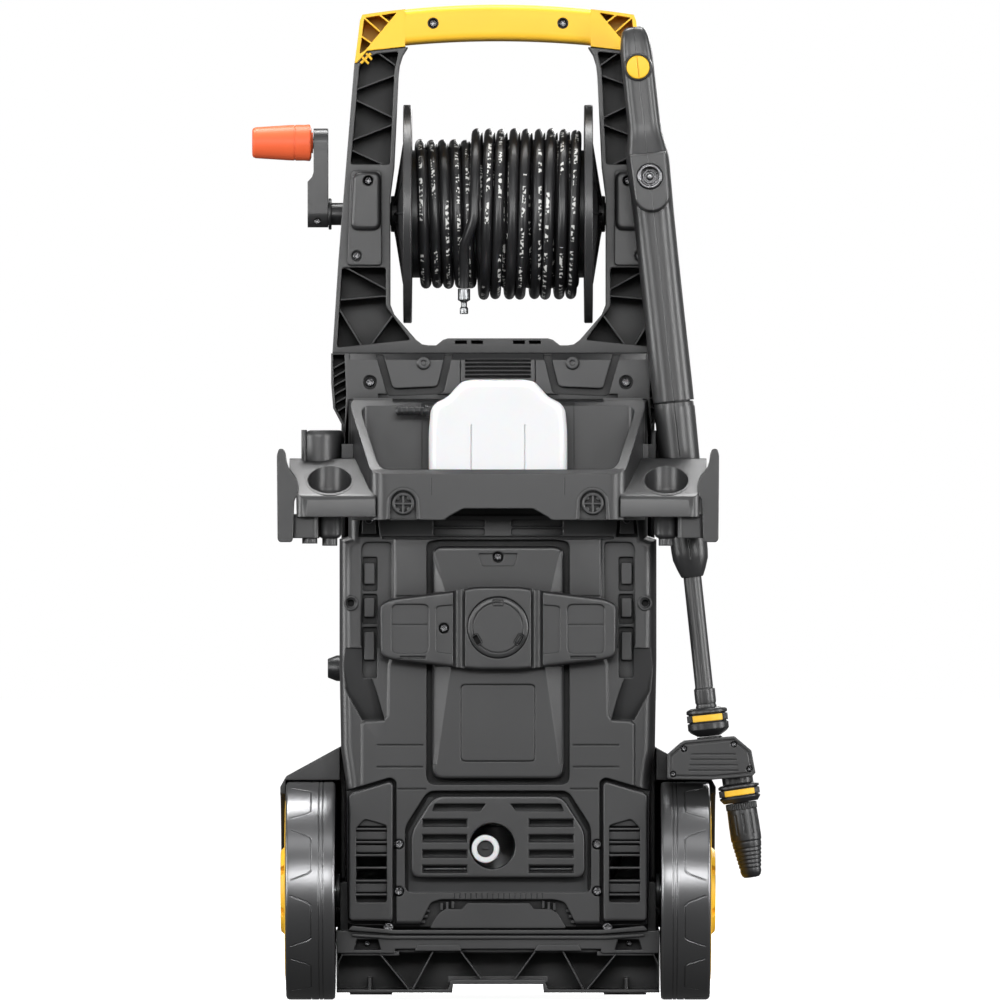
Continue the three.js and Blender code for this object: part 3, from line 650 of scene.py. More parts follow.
def tube(route, radius, sides=16):
    """A mesh tube along a route, with a UV map that runs along it in metres."""
    points = [Vector(point) for point in route]
    mesh = bpy.data.meshes.new("tube")
    work = bmesh.new()
    layer = work.loops.layers.uv.new("along")
    rows, travelled, reach = [], [], 0.0
    across = Vector((1, 0, 0))
    for i, point in enumerate(points):
        along = (points[min(i + 1, len(points) - 1)] - points[max(i - 1, 0)]).normalized()
        across = (across - along * across.dot(along)).normalized()
        up = along.cross(across)
        rows.append([
            work.verts.new(point + (across * math.cos(t) + up * math.sin(t)) * radius) for t in around(sides)
        ])
        reach += (point - points[i - 1]).length if i else 0.0
        travelled.append(reach * MM)
    for i in range(len(rows) - 1):
        for j in range(sides):
            k = (j + 1) % sides
            face = work.faces.new((rows[i][j], rows[i][k], rows[i + 1][k], rows[i + 1][j]))
            places = [(i, j), (i, j + 1), (i + 1, j + 1), (i + 1, j)]
            for loop, (step, side) in zip(face.loops, places):
                loop[layer].uv = (travelled[step], side / sides)
    work.faces.new(list(reversed(rows[0])))
    work.faces.new(rows[-1])
    bmesh.ops.recalc_face_normals(work, faces=work.faces)
    work.to_mesh(mesh)
    work.free()
    item = bpy.data.objects.new("tube", mesh)
    scene.collection.objects.link(item)
    return item


def make_hose():
    route = hose_route()
    hose = tube(route, HOSE_RADIUS)
    piece("high_pressure_hose", hose, "hose", "reel", ["hose_coil", "hose_tail"], edge=0, smooth=60)
    path = [TO_ROW @ Vector(point) for point in route]
    length = sum((b - a).length for a, b in zip(path, path[1:]))
    tuple(path[0])
    [tuple(p) for p in path]
    print("hose length", round(length, 3))


make_hose()


# ---- fasteners ----
def screw(x, y, z, radius=4.2, depth=3.0):
    """A pan-head screw seen from behind, its head at y, with a cross recess."""
    profile = [(0, y + depth), (radius, y + depth), (radius, y + 1.0), (radius * 0.72, y), (0, y)]
    width, reach = radius * 0.24, radius * 0.62
    slots = joined(
        box(x - reach, x + reach, y - 1, y + 1.3, z - width, z + width),
        box(x - width, x + width, y - 1, y + 1.3, z - reach, z + reach),
    )
    return cut(turned("y", profile, x, z, 20), slots)


def well(x, z, radius, face, depth):
    return rod("y", radius, face - 4, face + depth, x, z, 28)


# ---- wheels ----
LUGS = 10


def lug_outline(radius):
    """The engraved outline of one tread lug, as one bent bar lying in the tread."""
    def point(x, degrees):
        angle = math.radians(degrees)
        return Vector((x, WHEEL_Y - radius * math.cos(angle), WHEEL_Z + radius * math.sin(angle)))

    side = [point(186.4, -9 + 18 * i / 6) for i in range(7)]
    path = [point(206.8, -14.0), point(190.0, -10.6)] + side + [point(190.0, 10.6), point(206.8, 14.0)]
    sections = []
    for i, here in enumerate(path):
        along = (path[min(i + 1, len(path) - 1)] - path[max(i - 1, 0)]).normalized()
        out = Vector((0, here.y - WHEEL_Y, here.z - WHEEL_Z)).normalized()
        across = along.cross(out).normalized() * 0.45
        low = here - out * 0.8
        sections.append([low - across, low + across, here + out + across, here + out - across])
    return loft(sections)


def make_wheels():
    tread = [
        (9.5, 164.8), (94, 164.8), (97, 163.2), (104, 162.6), (107.5, 163.2), (109, 165.6), (109, 174.1),
        (108.3, 174.3), (108.3, 175.0), (109, 175.2), (109, 178.0), (108.3, 178.2), (108.3, 178.9),
        (109, 179.1), (109, 208.6), (108, 211), (105.5, 212), (103, 211.4), (101.5, 209.5), (99, 209.5),
        (96.5, 211.2), (93, 211.6), (91.6, 210.5), (91.6, 176), (30, 176), (30, 211.5), (9.5, 211.5),
    ]
    wheel = turned("x", tread, WHEEL_Y, WHEEL_Z, 120)
    first_lug = math.radians(15.5)
    lugs = [spun(lug_outline(109), angle + first_lug, WHEEL_Y, WHEEL_Z) for angle in around(LUGS)]
    wheel = cut(wheel, merged(lugs))
    spokes = []
    for angle in around(8):
        wall = box(177, 197, WHEEL_Y - 1.6, WHEEL_Y + 1.6, WHEEL_Z + 29, WHEEL_Z + 93)
        spokes.append(spun(wall, angle, WHEEL_Y, WHEEL_Z))
    pair("tread_{}", joined(wheel, merged(spokes)), "tyre", "wheel_{}", "wheel_{}", edge=0, smooth=40)


def make_hubcaps():
    disc = [
        (0, 211.9), (30.3, 211.9), (30.3, 204.5), (91, 204.5), (91, 211.6), (89.5, 212.8), (86, 213),
        (84, 211.4), (60, 212.6), (44, 213.6), (41, 217), (38, 217.5), (20, 217.5), (18, 216), (0, 216),
    ]
    cap = turned("x", disc, WHEEL_Y, WHEEL_Z, 96)
    rim_side = on_circle(WHEEL_Y, WHEEL_Z, 80, arc(66, 114, 8))
    window = soften(rim_side + on_circle(WHEEL_Y, WHEEL_Z, 49, arc(108, 72, 3)), 4)
    windows = [spun(prism("x", window, 208.4, 220), t + math.pi / 5, WHEEL_Y, WHEEL_Z) for t in around(5)]
    notches = []
    for angle in around(6):
        notch = box(213.8, 219, WHEEL_Y - 5, WHEEL_Y + 5, WHEEL_Z + 33, WHEEL_Z + 46)
        notches.append(spun(notch, angle, WHEEL_Y, WHEEL_Z))
    cap = cut(cap, merged(windows), merged(notches))
    pair("wheel_cap_{}", cap, "yellow", "wheel_{}", "hubcap_{}", edge=0.5)


make_wheels()
make_hubcaps()


# ---- reel ----
def make_reel():
    dished = [
        (11.3, 78.5), (57, 78.5), (57, 85.6), (64, 85.9), (108.4, 86.4), (109.5, 87.2), (109.5, 94.4),
        (108.6, 95), (74, 95), (60, 96.2), (40, 99.6), (26, 100.8), (18.5, 101), (18, 107), (17, 107.6),
        (11.3, 107.6),
    ]
    disc = turned("x", dished, REEL_Y, REEL_Z, 112)
    web = [(16, 99), (16, 104.6), (24, 103), (70, 95.6), (70, 94)]
    webs = []
    for angle in around(12):
        sections = [[Vector((x, REEL_Y + side, REEL_Z + z)) for z, x in web] for side in (-1, 1)]
        webs.append(spun(loft(sections), angle, REEL_Y, REEL_Z))
    disc = joined(disc, merged(webs))
    pair("flange_disc_{}", disc, "charcoal", "reel", "reel_flange_{}", edge=0, smooth=35)


make_reel()


# ---- crank ----
def make_crank():
    side = on_circle(REEL_Y, CRANK_PIN_Z, 14.3, arc(0, 180, 12))
    side += on_circle(REEL_Y, REEL_Z + 1, 14.6, arc(180, 360, 12))
    edge = [
        (-170.3, 773.5), (-170.3, 873), (-185, 873), (-185, 829), (-186.5, 824), (-191, 819), (-191, 773.5),
    ]
    arm = common(prism("x", side, -192, -169), prism("y", edge, REEL_Y - 20, REEL_Y + 20))
    hollow = prism("x", inset(side, 3.2), -172.5, -160)
    webs = [box(-176, -168, REEL_Y - 20, REEL_Y + 20, z - 0.8, z + 0.8) for z in (812, 826, 840)]
    hubs = [rod("x", 9.5, -180, -169, REEL_Y, REEL_Z), rod("x", 8.5, -180, -169, REEL_Y, CRANK_PIN_Z)]
    arm = cut(arm, cut(hollow, webs, hubs))
    arm = cut(arm, rod("x", 6.2, -195, -188.5, REEL_Y, REEL_Z + 0.5), well(-181, 779.5, 3.6, -45, 4))
    piece("crank_lever", arm, "charcoal", "reel", ["crank_arm"], edge=1.0)
    screws("crank_screw", [screw(-181, -43.4, 779.5, 3.0, 2.5)], "reel")
    profile = [
        (6.4, -185.6), (10.5, -185.6), (10.5, -187.2), (14.8, -187.2), (18.2, -188.4), (18.4, -190),
        (18.0, -194), (18.0, -203), (17.3, -203.4), (17.3, -204.2), (17.9, -204.6), (17.7, -210),
        (15.6, -243), (14.6, -245.6), (12.5, -246.6), (0, -246.6), (0, -242.6), (6.4, -242.6),
    ]
    grip = turned("x", profile, REEL_Y, CRANK_PIN_Z, 72)
    spots = on_circle(REEL_Y, CRANK_PIN_Z, 19.6, around(14))
    flutes = [rod("x", 1.9, -239, -211, y, z, 10) for y, z in spots]
    piece("crank_handle", cut(grip, merged(flutes)), "orange", "grip", ["crank_grip"], edge=0.3, smooth=38)


make_crank()


# ---- handle frame and crosspiece ----
def leg_outline():
    return [
        (166, 647), (160, 740), (144, 937.4), (141, 937.8), (130.8, 949.6), (90.5, 953.8), (95.5, 946),
        (98.6, 936), (99.8, 925), (104, 834), (108, 803), (108, 696), (104, 686), (82, 660.5), (76, 656),
        (70, 655), (62, 655), (55, 660.5), (50, 662),
    ]


def make_handle():
    right = leg_outline()
    outline = [*right, (0, 662), *mirror_points(right)]
    upper = [(152.2, 832), (143, 938), (125, 951), (94, 954), (99.5, 930), (104, 832)]
    lower = [(166, 648), (160.3, 737), (108, 737), (108, 695), (80, 657)]
    ribs = [
        ((126, 952), (102, 935)), ((145, 910), (100, 927)), ((145, 902), (103, 882)),
        ((150, 859), (103, 877)), ((150, 852), (104, 831)), ((160, 737), (108, 709)),
        ((163, 700), (106, 705)), ((162, 696), (134, 650)), ((131, 650), (104, 687)),
    ]
    pockets = [plate(inset(points, 4.2), -64, -12, 3) for points in (upper, lower)]
    room = cut(merged(pockets), [rib(start, end, -60.6, -10) for start, end in ribs])
    slots = both(*[box(15 + 16 * i, 27 + 16 * i, -64, -30, 656.5, 659.5) for i in range(2)])
    body = cut(plate(outline, -62, 2), both(room), slots, rod("x", 11.6, -175, 175, REEL_Y, REEL_Z))
    piece("handle_tube", body, "charcoal", "root", ["handle_frame"], edge=1.1)


def arch(x):
    """Height of the crosspiece's top."""
    return 996.6 - 10.4 * (x / 136) ** 2


def make_crosspiece():
    top = [(x, arch(x)) for x in reversed([-136 + 272 * i / 32 for i in range(33)])]
    under = [
        (-141.4, 938), (-131, 950), (-92, 954.4), (-85, 957), (85, 957), (92, 954.4), (131, 950),
        (141.4, 938),
    ]
    ends = [(-143.7, 938), *under, (143.7, 938), (140.5, 962), (138.4, 980)]
    body = plate([*ends, *top, (-138.4, 980), (-140.5, 962)], -65.6, 5.6)
    grip = []
    for i in range(29):
        x = -95 + 190 * i / 28
        low = 960.6 - 3.8 * (x / 87) ** 2
        middle, half = (arch(x) + low) / 2, (arch(x) - low) / 2
        grip.append([
            (x, -30 + signed_power(math.cos(t), 0.3) * 35.6, middle + signed_power(math.sin(t), 0.3) * half)
            for t in around(48)
        ])
    body = joined(cut(body, box(-93, 93, -80, 20, 940, 1010)), loft(grip))
    corner = [(138.6, 947), (134, 983), (101.5, 988.2), (133, 950.5)]
    ribs = [((141, 967.5), (126, 957)), ((135, 984), (118, 969)), ((121, 988), (107, 977))]
    walls = [rib(start, end, -70, -10, 1.6) for start, end in ribs]
    pocket = cut(plate(corner, -70, -16, 1.5), walls)
    body = cut(body, both(pocket), both(well(CROSS_SCREW_X, CROSS_SCREW_Z, 5.6, -65.6, 9)))
    piece("carry_handle", body, "yellow", "root", ["handle_crosspiece"], edge=1.0)
    tab = joined(
        rib((127.5, 947.5), (137.5, 937.5), -64.6, -50, 2.6),
        rib((129.6, 937.2), (137.6, 945.2), -64.8, -50, 2.4),
        rib((126.4, 941.4), (132.2, 947.4), -64.8, -50, 2.4),
    )
    piece("handle_tabs", merged(both(tab)), "yellow", "root", edge=0.4)
    liners = merged(both(ring("y", 4.4, 5.55, -64.6, -58, CROSS_SCREW_X, CROSS_SCREW_Z, 32)))
    piece("handle_screw_wells", liners, "black", "root", edge=0.2)
    screws("handle_screws", both(screw(CROSS_SCREW_X, -60.6, CROSS_SCREW_Z)))


def signed_power(value, power):
    return math.copysign(abs(value) ** power, value)


def make_bearing_caps():
    base = plate([(151, 735), (148.4, 812), (147, 830), (117, 830), (116.4, 735)], -66.5, -62.2, 4)
    dome = stepped(
        [(148, 770), (145, 829), (117.2, 829), (117.2, 770)],
        [(-66, 0), (-69.4, 0.6), (-71.2, 2.2), (-71.9, 4.6)], 9, shrink=1,
    )
    cap = cut(joined(base, dome), well(130, 819.8, 5.2, -72, 5.5), well(141.5, 744.5, 5.2, -68, 3.5))
    pair("bearing_cover_{}", cap, "charcoal", "root", "bearing_cap_{}", edge=1.2)
    screws("bearing_screws", both(screw(130, -68.6, 819.8, 3.8), screw(141.5, -66.6, 744.5, 3.8)))


make_handle()
make_crosspiece()
make_bearing_caps()


# ---- gun and lance, in the lance's own frame: +Z up the lance, -Y to the back ----
GUN = [
    # height, half width, back, front, squareness
    (0.5, 20.4, -20, 20, 0.9), (20, 20.5, -20, 20, 0.9), (90, 20.2, -20, 20, 0.88),
    (150, 20.2, -20, 20, 0.84), (190, 20.4, -20, 20.5, 0.8), (214, 20.9, -20, 22, 0.7),
    (236, 21.3, -20, 22, 0.62), (244, 21.4, -20, 22, 0.6), (252, 20.6, -19, 22, 0.6),
    (262, 18.6, -16.5, 22, 0.6), (271, 17, -14.4, 22, 0.6), (280, 16.4, -14, 22, 0.6),
    (310, 16.2, -14, 22, 0.58), (335, 16.1, -14, 22, 0.58), (350, 15.9, -13.8, 22, 0.6),
    (360, 15, -13, 19, 0.64), (367, 13.8, -11.8, 14.5, 0.7), (372, 12.2, -10, 10, 0.76),
    (375, 10, -8, 6.4, 0.85), (376.6, 6.6, -5.4, 3.6, 1),
]


def gun_half():
    """The half of the gun's body at +X: a rounded loft with the inlet's boss on its back."""
    seam = 0.04
    sections = []
    for height, half, back, front, power in GUN:
        middle, reach = (back + front) / 2, (front - back) / 2
        sections.append([
            (seam + abs(signed_power(math.cos(t), power)) * half,
             middle + signed_power(math.sin(t), power) * reach, height)
            for t in arc(-90, 90, 28)
        ])

    def boss(y, pull):
        round_end = [((16.6 - pull) * math.cos(t), 206 + (15 - pull) * math.sin(t)) for t in arc(-84, 0, 10)]
        outline = [(seam, 249 - pull), (seam, 191 + pull), *round_end, (17.6 - pull, 249 - pull)]
        return [(x, y, z) for x, z in outline]

    body = joined(loft(sections), loft([boss(-14, -0.8), boss(-29.6, 0.0), boss(-31, 1.5)]))
    body = cut(body, rod("y", 12.6, -40, -5, 0, BUTTON_Z, 48), rod("y", 12.9, -40, -14, 0, INLET_Z, 48))
    return cut(body, box(-9.6, 9.6, 5, 40, 197, 334))


def make_gun():
    pair(
        "gun_half_{}", gun_half(), "charcoal", "gun", "gun_shell_{}", edge=0.55, smooth=40, place=LANCE_FRAME,
    )
    rim = [(9.0, -32.6), (9.8, -33.4), (11.6, -33.4), (12.4, -32.6), (12.4, -14), (9.0, -14)]
    floor = [(0, -22), (9.4, -22), (9.4, -14), (0, -14)]
    pin = [(0, -27.5), (2.6, -27.5), (3.4, -26), (3.4, -21), (0, -21)]
    socket = joined(turned("y", rim, 0, INLET_Z, 64), turned("y", floor, 0, INLET_Z))
    socket = joined(socket, turned("y", pin, 0, INLET_Z, 32), ring("y", 5.4, 7.2, -25, -21, 0, INLET_Z, 48))
    piece("gun_socket", socket, "dark_steel", "gun", ["gun_inlet"], edge=0.3, place=LANCE_FRAME)
    surround = [(11.9, -12), (11.9, -15.6), (12.4, -16.2), (13.8, -15.4), (14.4, -12)]
    surround = turned("y", surround, 0, BUTTON_Z, 64)
    piece("gun_button_ring", surround, "black", "gun", edge=0, place=LANCE_FRAME)
    button = [(0, -8), (11.6, -8), (11.6, -15.6), (10.8, -16.6), (6, -17), (0, -17)]
    button = cut(turned("y", button, 0, BUTTON_Z, 64), box(-0.35, 0.35, -18, -15.6, 322, 350))
    piece("gun_button_cap", button, "yellow", "button", ["gun_button"], edge=0.25, place=LANCE_FRAME)
    lever = [
        (8, 203), (15, 200.5), (24, 202.5), (31, 208), (35.5, 218), (38.5, 232), (40.6, 247), (41.5, 262),
        (41.5, 300), (40.8, 314), (39, 321), (36.5, 323), (34, 321), (34.6, 310), (35, 298), (34.4, 278),
        (33, 262), (30.8, 248), (27.5, 237), (22, 229), (14, 224),
    ]
    hollow = prism("x", [(28, 236), (41, 236), (44, 300), (36.2, 300), (35.6, 270)], 6.6, 9)
    trigger = cut(prism("x", lever, -8, 8), hollow)
    piece("gun_lever", trigger, "black", "trigger", ["gun_trigger"], edge=1.4, segments=3, place=LANCE_FRAME)


def make_lance():
    joint = turned("z", [(9.3, -3), (16.4, -3), (16.4, 1.6), (9.3, 1.6)])
    piece("gun_joint", joint, "black", "lance", edge=0.2, place=LANCE_FRAME)
    sleeve = [
        (9.3, -0.4), (19.2, -0.4), (19.8, -1.4), (19.8, -5), (20.5, -6), (20.4, -22), (19.2, -118),
        (18.5, -136), (18.3, -150), (17.6, -158), (14.2, -168), (11.2, -175), (10.2, -176), (9.3, -176),
    ]
    body = cut(turned("z", sleeve), box(-0.3, 0.3, -30, -17.4, -158, 2))
    piece("lance_grip", body, "charcoal", "lance", ["lance_sleeve"], edge=0.3, smooth=38, place=LANCE_FRAME)
    shaft = [
        (3, -0.5), (9, -0.5), (9, -286.5), (9.6, -287.5), (10.5, -288.5), (10.5, -302), (9.8, -303),
        (9.8, -304.5), (10.5, -305.5), (10.5, -335.8), (3, -335.8),
    ]
    pipe = cut(turned("z", shaft, segments=56), box(-0.25, 0.25, -12, -8.5, -286, 0))
    piece("lance_pipe", pipe, "charcoal", "lance", ["lance_tube"], edge=0.3, smooth=38, place=LANCE_FRAME)


def knurled(outer, depth, start, end, count, inner):
    """A ring with flutes along its axis."""
    outline = []
    for i in range(count):
        for share, radius in ((0.0, outer), (0.38, outer), (0.55, outer - depth), (0.83, outer - depth)):
            outline += on_circle(0, 0, radius, [math.tau * (i + share) / count])
    return cut(prism("z", outline, start, end), rod("z", inner, start - 1, end + 1))


def make_collars():
    upper = [
        (10.8, -307), (15.5, -307), (19.4, -308.4), (20.5, -310), (20.5, -312.4), (18.6, -313.4),
        (18.6, -321.4), (20.5, -322.4), (20.5, -328.6), (18, -331.6), (13, -334.6), (12, -335.4),
        (10.8, -335.4),
    ]
    lower = [
        (8.4, 0.3), (18, 0.3), (20.2, -0.8), (20.5, -2), (20.5, -3.4), (18.6, -4.2), (18.6, -11.6),
        (20.5, -12.4), (20.5, -13.6), (17.2, -18), (8.4, -18),
    ]
    for side, profile, place in (("upper", upper, LANCE_FRAME), ("lower", lower, NOZZLE_FRAME)):
        piece(
            f"lance_ring_{side}", turned("z", profile), "black", f"collar_{side}", [f"lance_collar_{side}"],
            edge=0, smooth=35, place=place,
        )
    back_left, back_right = on_circle(0, 0, 40, [-math.pi / 2 - 0.85, -math.pi / 2 + 0.85])
    window = soften([(0, 0), back_left, (0, -60), back_right], 2)
    bands = (("upper", -320.6, -314.2, LANCE_FRAME), ("lower", -10.9, -5.0, NOZZLE_FRAME))
    for side, low, high, place in bands:
        band = common(ring("z", 18.2, 20.3, low, high, segments=96), prism("z", window, low - 1, high + 1))
        piece(f"ring_band_{side}", band, "yellow", f"collar_{side}", edge=0.6, segments=3, place=place)
        rest = cut(box(-40, 40, -40, 40, low - 1, high + 1), prism("z", window, low - 2, high + 2))
        grips = common(knurled(20.5, 0.9, low - 0.2, high + 0.2, 48, 18.3), rest)
        piece(f"ring_knurl_{side}", grips, "black", f"collar_{side}", edge=0, place=place)


def make_head():
    outline = [
        (169.2, 222.5), (173, 221.4), (214, 220.8), (254, 224.6), (257.1, 228), (253, 250), (236.4, 264),
        (186, 259.6), (182, 257), (169.4, 246),
    ]
    body = cut(plate(outline, -141.8, -94), groove(inset(outline, 2.6), 1.6, -143, -141.1))
    lines = enumerate((229.6, 235, 240.4, 245.8))
    body = cut(body, [box(190 + i, 240 - i, -143, -141.3, z, z + 1) for i, z in lines])
    spots = [(185.6, 251.6), (235.4, 256.2), (174.6, 226.4), (251, 231.6)]
    body = cut(body, [well(x, z, 3.2, -142, 3.5) for x, z in spots])
    lower_neck = moved(rod("z", 15.5, 0.6, 9, segments=48), NOZZLE_FRAME)
    upper_neck = moved(rod("z", 12.5, -340, -336.2, segments=48), LANCE_FRAME)
    body = joined(body, lower_neck, upper_neck)
    piece("lance_head_case", body, "charcoal", "lance", ["lance_head"], edge=0.9)
    screws("lance_head_screws", [screw(x, -140.9, z, 2.5, 2.4) for x, z in spots], "lance", 0.1)


def make_nozzle():
    profile = [
        (0, -4.2), (8.1, -4.2), (8.1, -18.6), (14.6, -18.6), (14.6, -25.4), (15.0, -26.4), (15.4, -40),
        (15.4, -52), (15.3, -56.4), (14.4, -57.4), (14.4, -58.8), (14.7, -59.8),
    ]
    for i in range(6):
        ridge = -62.0 - 4.0 * i
        radius = 14.6 - (-ridge - 60) * 0.15
        valley = radius - 0.9
        profile += [(radius, ridge + 0.6), (radius, ridge - 1.4)]
        profile += [(valley, ridge - 2.0), (valley, ridge - 2.8)]
    profile += [(10.6, -88), (9.4, -91.6), (7.4, -93.6), (4.4, -94), (4.0, -92), (0, -90)]
    body = joined(turned("z", profile), knurled(15.6, 1.0, -25.2, -19.0, 40, 13))
    slots = [moved(box(-1.1, 1.1, -17, -14.5, -50, -30), Matrix.Rotation(t, 4, "Z")) for t in around(12)]
    body = cut(body, merged(slots))
    piece("nozzle_body", body, "black", "nozzle", ["rotary_nozzle"], edge=0, smooth=35, place=NOZZLE_FRAME)


make_gun()
make_lance()
make_collars()
make_head()
make_nozzle()


# ---- casing, seen from behind ----
def domed(outline, start, end, rounding=5.0, steps=4):
    """An outline pushed along Y whose back edge is rounded over."""
    sections = []
    for i in range(steps + 1):
        angle = math.pi / 2 * i / steps
        pull, y = rounding * (1 - math.sin(angle)), start + rounding * (1 - math.cos(angle))
        sections.append([(x, y, z) for x, z in inset(outline, pull)])
    sections.append([(x, end, z) for x, z in outline])
    return loft(sections)


def vent_outline(half, top=208.0, bottom=106.0):
    return symmetric([(half, bottom), (half, top - 36), (half - 23, top)])


def rectangles(x0, x1, spans):
    return [rectangle(x0, x1, z0, z1) for z0, z1 in spans]


def plates(outlines, start, end, corner=0.0):
    return merged([plate(outline, start, end, corner) for outline in outlines])


def make_rear_cover():
    right = [
        (150, 70), (151.6, 150), (152, 218), (157, 252), (158.5, 340), (158.5, 461), (149.5, 464),
        (149.5, 600),
    ]
    outline = symmetric(right)
    cover = domed(outline, -112.5, -58.3, 13, 7)
    cover = cut(cover, plate(inset(outline, 4.5), -101, -50))
    raised = symmetric([
        (137.5, 76), (137.5, 276), (133, 280.5), (115, 281.5), (111.5, 285), (110.5, 336), (104.5, 350),
        (104.5, 463),
    ])
    cover = joined(cover, stepped(raised, [(-115, 3.6), (-114.5, 1.8), (-113.2, 0.5), (-111, 0), (-104, 0)]))
    strip = [(106.2, 352), (137, 352), (137, 452), (133, 458), (106.2, 458)]
    facet = [(156.5, 352), (152, 309), (136, 280), (113, 280), (121, 308), (131, 334), (134, 352)]
    scoop = loft([[(x, -120, z) for x, z in facet], [(x, -102.5 - (z - 280) * 0.11, z) for x, z in facet]])
    ladder = plates(rectangles(120.5, 135.5, ((409, 443), (376, 406), (322, 373))), -120, -103, 2.5)
    steps = plates(rectangles(123.5, 133.5, ((416, 437), (383, 402), (340, 368))), -110.5, -101.5, 1.5)
    lines = [box(75, 121, -116, -114.3, z, z + 1.3) for z in (254.4, 232.6)]
    lines += [box(72, 100, -116, -114.3, 210.6, 211.9), box(70, 122, -116, -114.4, 403.6, 404.6)]
    boss = ring("y", 5.3, 7.4, -114, -111.5, 147, 397, 40)
    upper = plates(rectangles(13, 65, ((473.2, 480.4), (464.6, 471.6))), -116, -109.5, 2.4)
    clip = plate([(118, 463), (140, 463), (138, 484), (120, 484)], -120, -103)
    tongue = plate([(121.5, 466), (136.5, 466), (135, 486), (123, 486)], -112, -100, 1.5)
    cover = cut(joined(cover, both(boss)), both(plate(strip, -120, -108, 4)), both(scoop))
    cover = cut(cover, both(ladder), both(merged(lines)), both(rod("y", 3.6, -116, -104, 147, 397)))
    cover = cut(cover, both(upper), both(clip), box(-116, 116, -116, -110.5, 460.8, 463.6))
    cover = cut(cover, box(-160, 160, -116, -110, 484.5, 601))
    cover = joined(cover, both(tongue), both(steps))
    panel_seat = symmetric([(71.5, 215.5), (71.5, 458), (60, 460.5)])
    cover = cut(cover, plate(panel_seat, -120, -104, 9), plate(vent_outline(93, 209.5, 108), -120, -101.5, 7))
    grille_seat = [(101.4, 76), (101.4, 219), (107, 223), (151, 210), (153, 207), (153, 80), (149, 76)]
    gap = box(112, 141, -110, -95, 121, 144)
    cover = cut(cover, both(plate(grille_seat, -120, -103, 3)), both(gap))
    cover = cut(cover, rod("y", 24, -120, -96, VENT_X, VENT_Z, 48))
    recess = symmetric([(79, 74), (67, 98), (57, 101)])
    cover = cut(cover, plate(recess, -120, -105.5, 3))
    step = symmetric([(68, 72), (60, 86), (53, 91), (36, 91), (31, 97)])
    teeth = [box(44 + 5.5 * i, 46.5 + 5.5 * i, -112, -105, 92 - i, 99 - i) for i in range(3)]
    teeth += [box(68 + 2.5 * i, 74 + 2.5 * i, -112, -105, 88 - 5.5 * i, 90.5 - 5.5 * i) for i in range(3)]
    cover = joined(cover, plate(step, -112.6, -105, 1.5), both(merged(teeth)))
    ticks = [box(-44 + 5.5 * i, -43.2 + 5.5 * i, -116, -114.4, 101.6, 107) for i in range(17)]
    cover = cut(cover, merged(ticks), both(box(158.9, 170, -112, -40, 60, 110)))
    cover = cut(cover, box(-140, 140, -97, -50, 60, 119))
    spots = [(99, 156, 5.2, 4.6), (99, 109, 5.2, 4.6), (109.6, 72.9, 6.4, 5.2)]
    cover = cut(cover, both(merged([well(x, z, hole, -115, 6) for x, z, hole, head in spots])))
    piece("rear_casing", cover, "charcoal", "root", ["rear_cover"], edge=0)
    screws("casing_screws", both(merged([screw(x, -112.8, z, head) for x, z, hole, head in spots])))
    screws("clip_screws", both(ring("y", 3.0, 4.4, -112.8, -106, 129, 480.4, 24)), edge=0.2)


def make_centre_panel():
    outline = symmetric([(66, 221), (66, 454)])
    levels = [(-120, 3.6), (-119.3, 1.6), (-117.4, 0.4), (-115.5, 0), (-106.5, 0)]
    panel = stepped(outline, levels, 12, 6, shrink=1)
    facets = []
    for (x0, z0), (x1, z1) in (((52.5, 408), (61.5, 449)), ((47, 334), (61, 236))):
        wedge = [(x0, -120.2, z0), (66.5, -112, z0), (66.5, -112, z1), (x1, -120.2, z1)]
        facets.append(loft([wedge, [(x, y - 8, z) for x, y, z in wedge]]))
    label = soften(rectangle(-37.4, 37.4, 238.5, 316), 5)
    seat = symmetric([(16, 434), (20, 446.4)])
    panel = cut(panel, both(*facets), groove(label, 1.0, -122, -118.9))
    panel = cut(panel, plate(seat, -122, -118.6, 2), well(0, 443, 5.6, -120, 7))
    piece("rear_panel", panel, "charcoal", "root", ["centre_panel"], edge=0)
    screws("panel_screw", [screw(0, -116.6, 443, 3.9)])


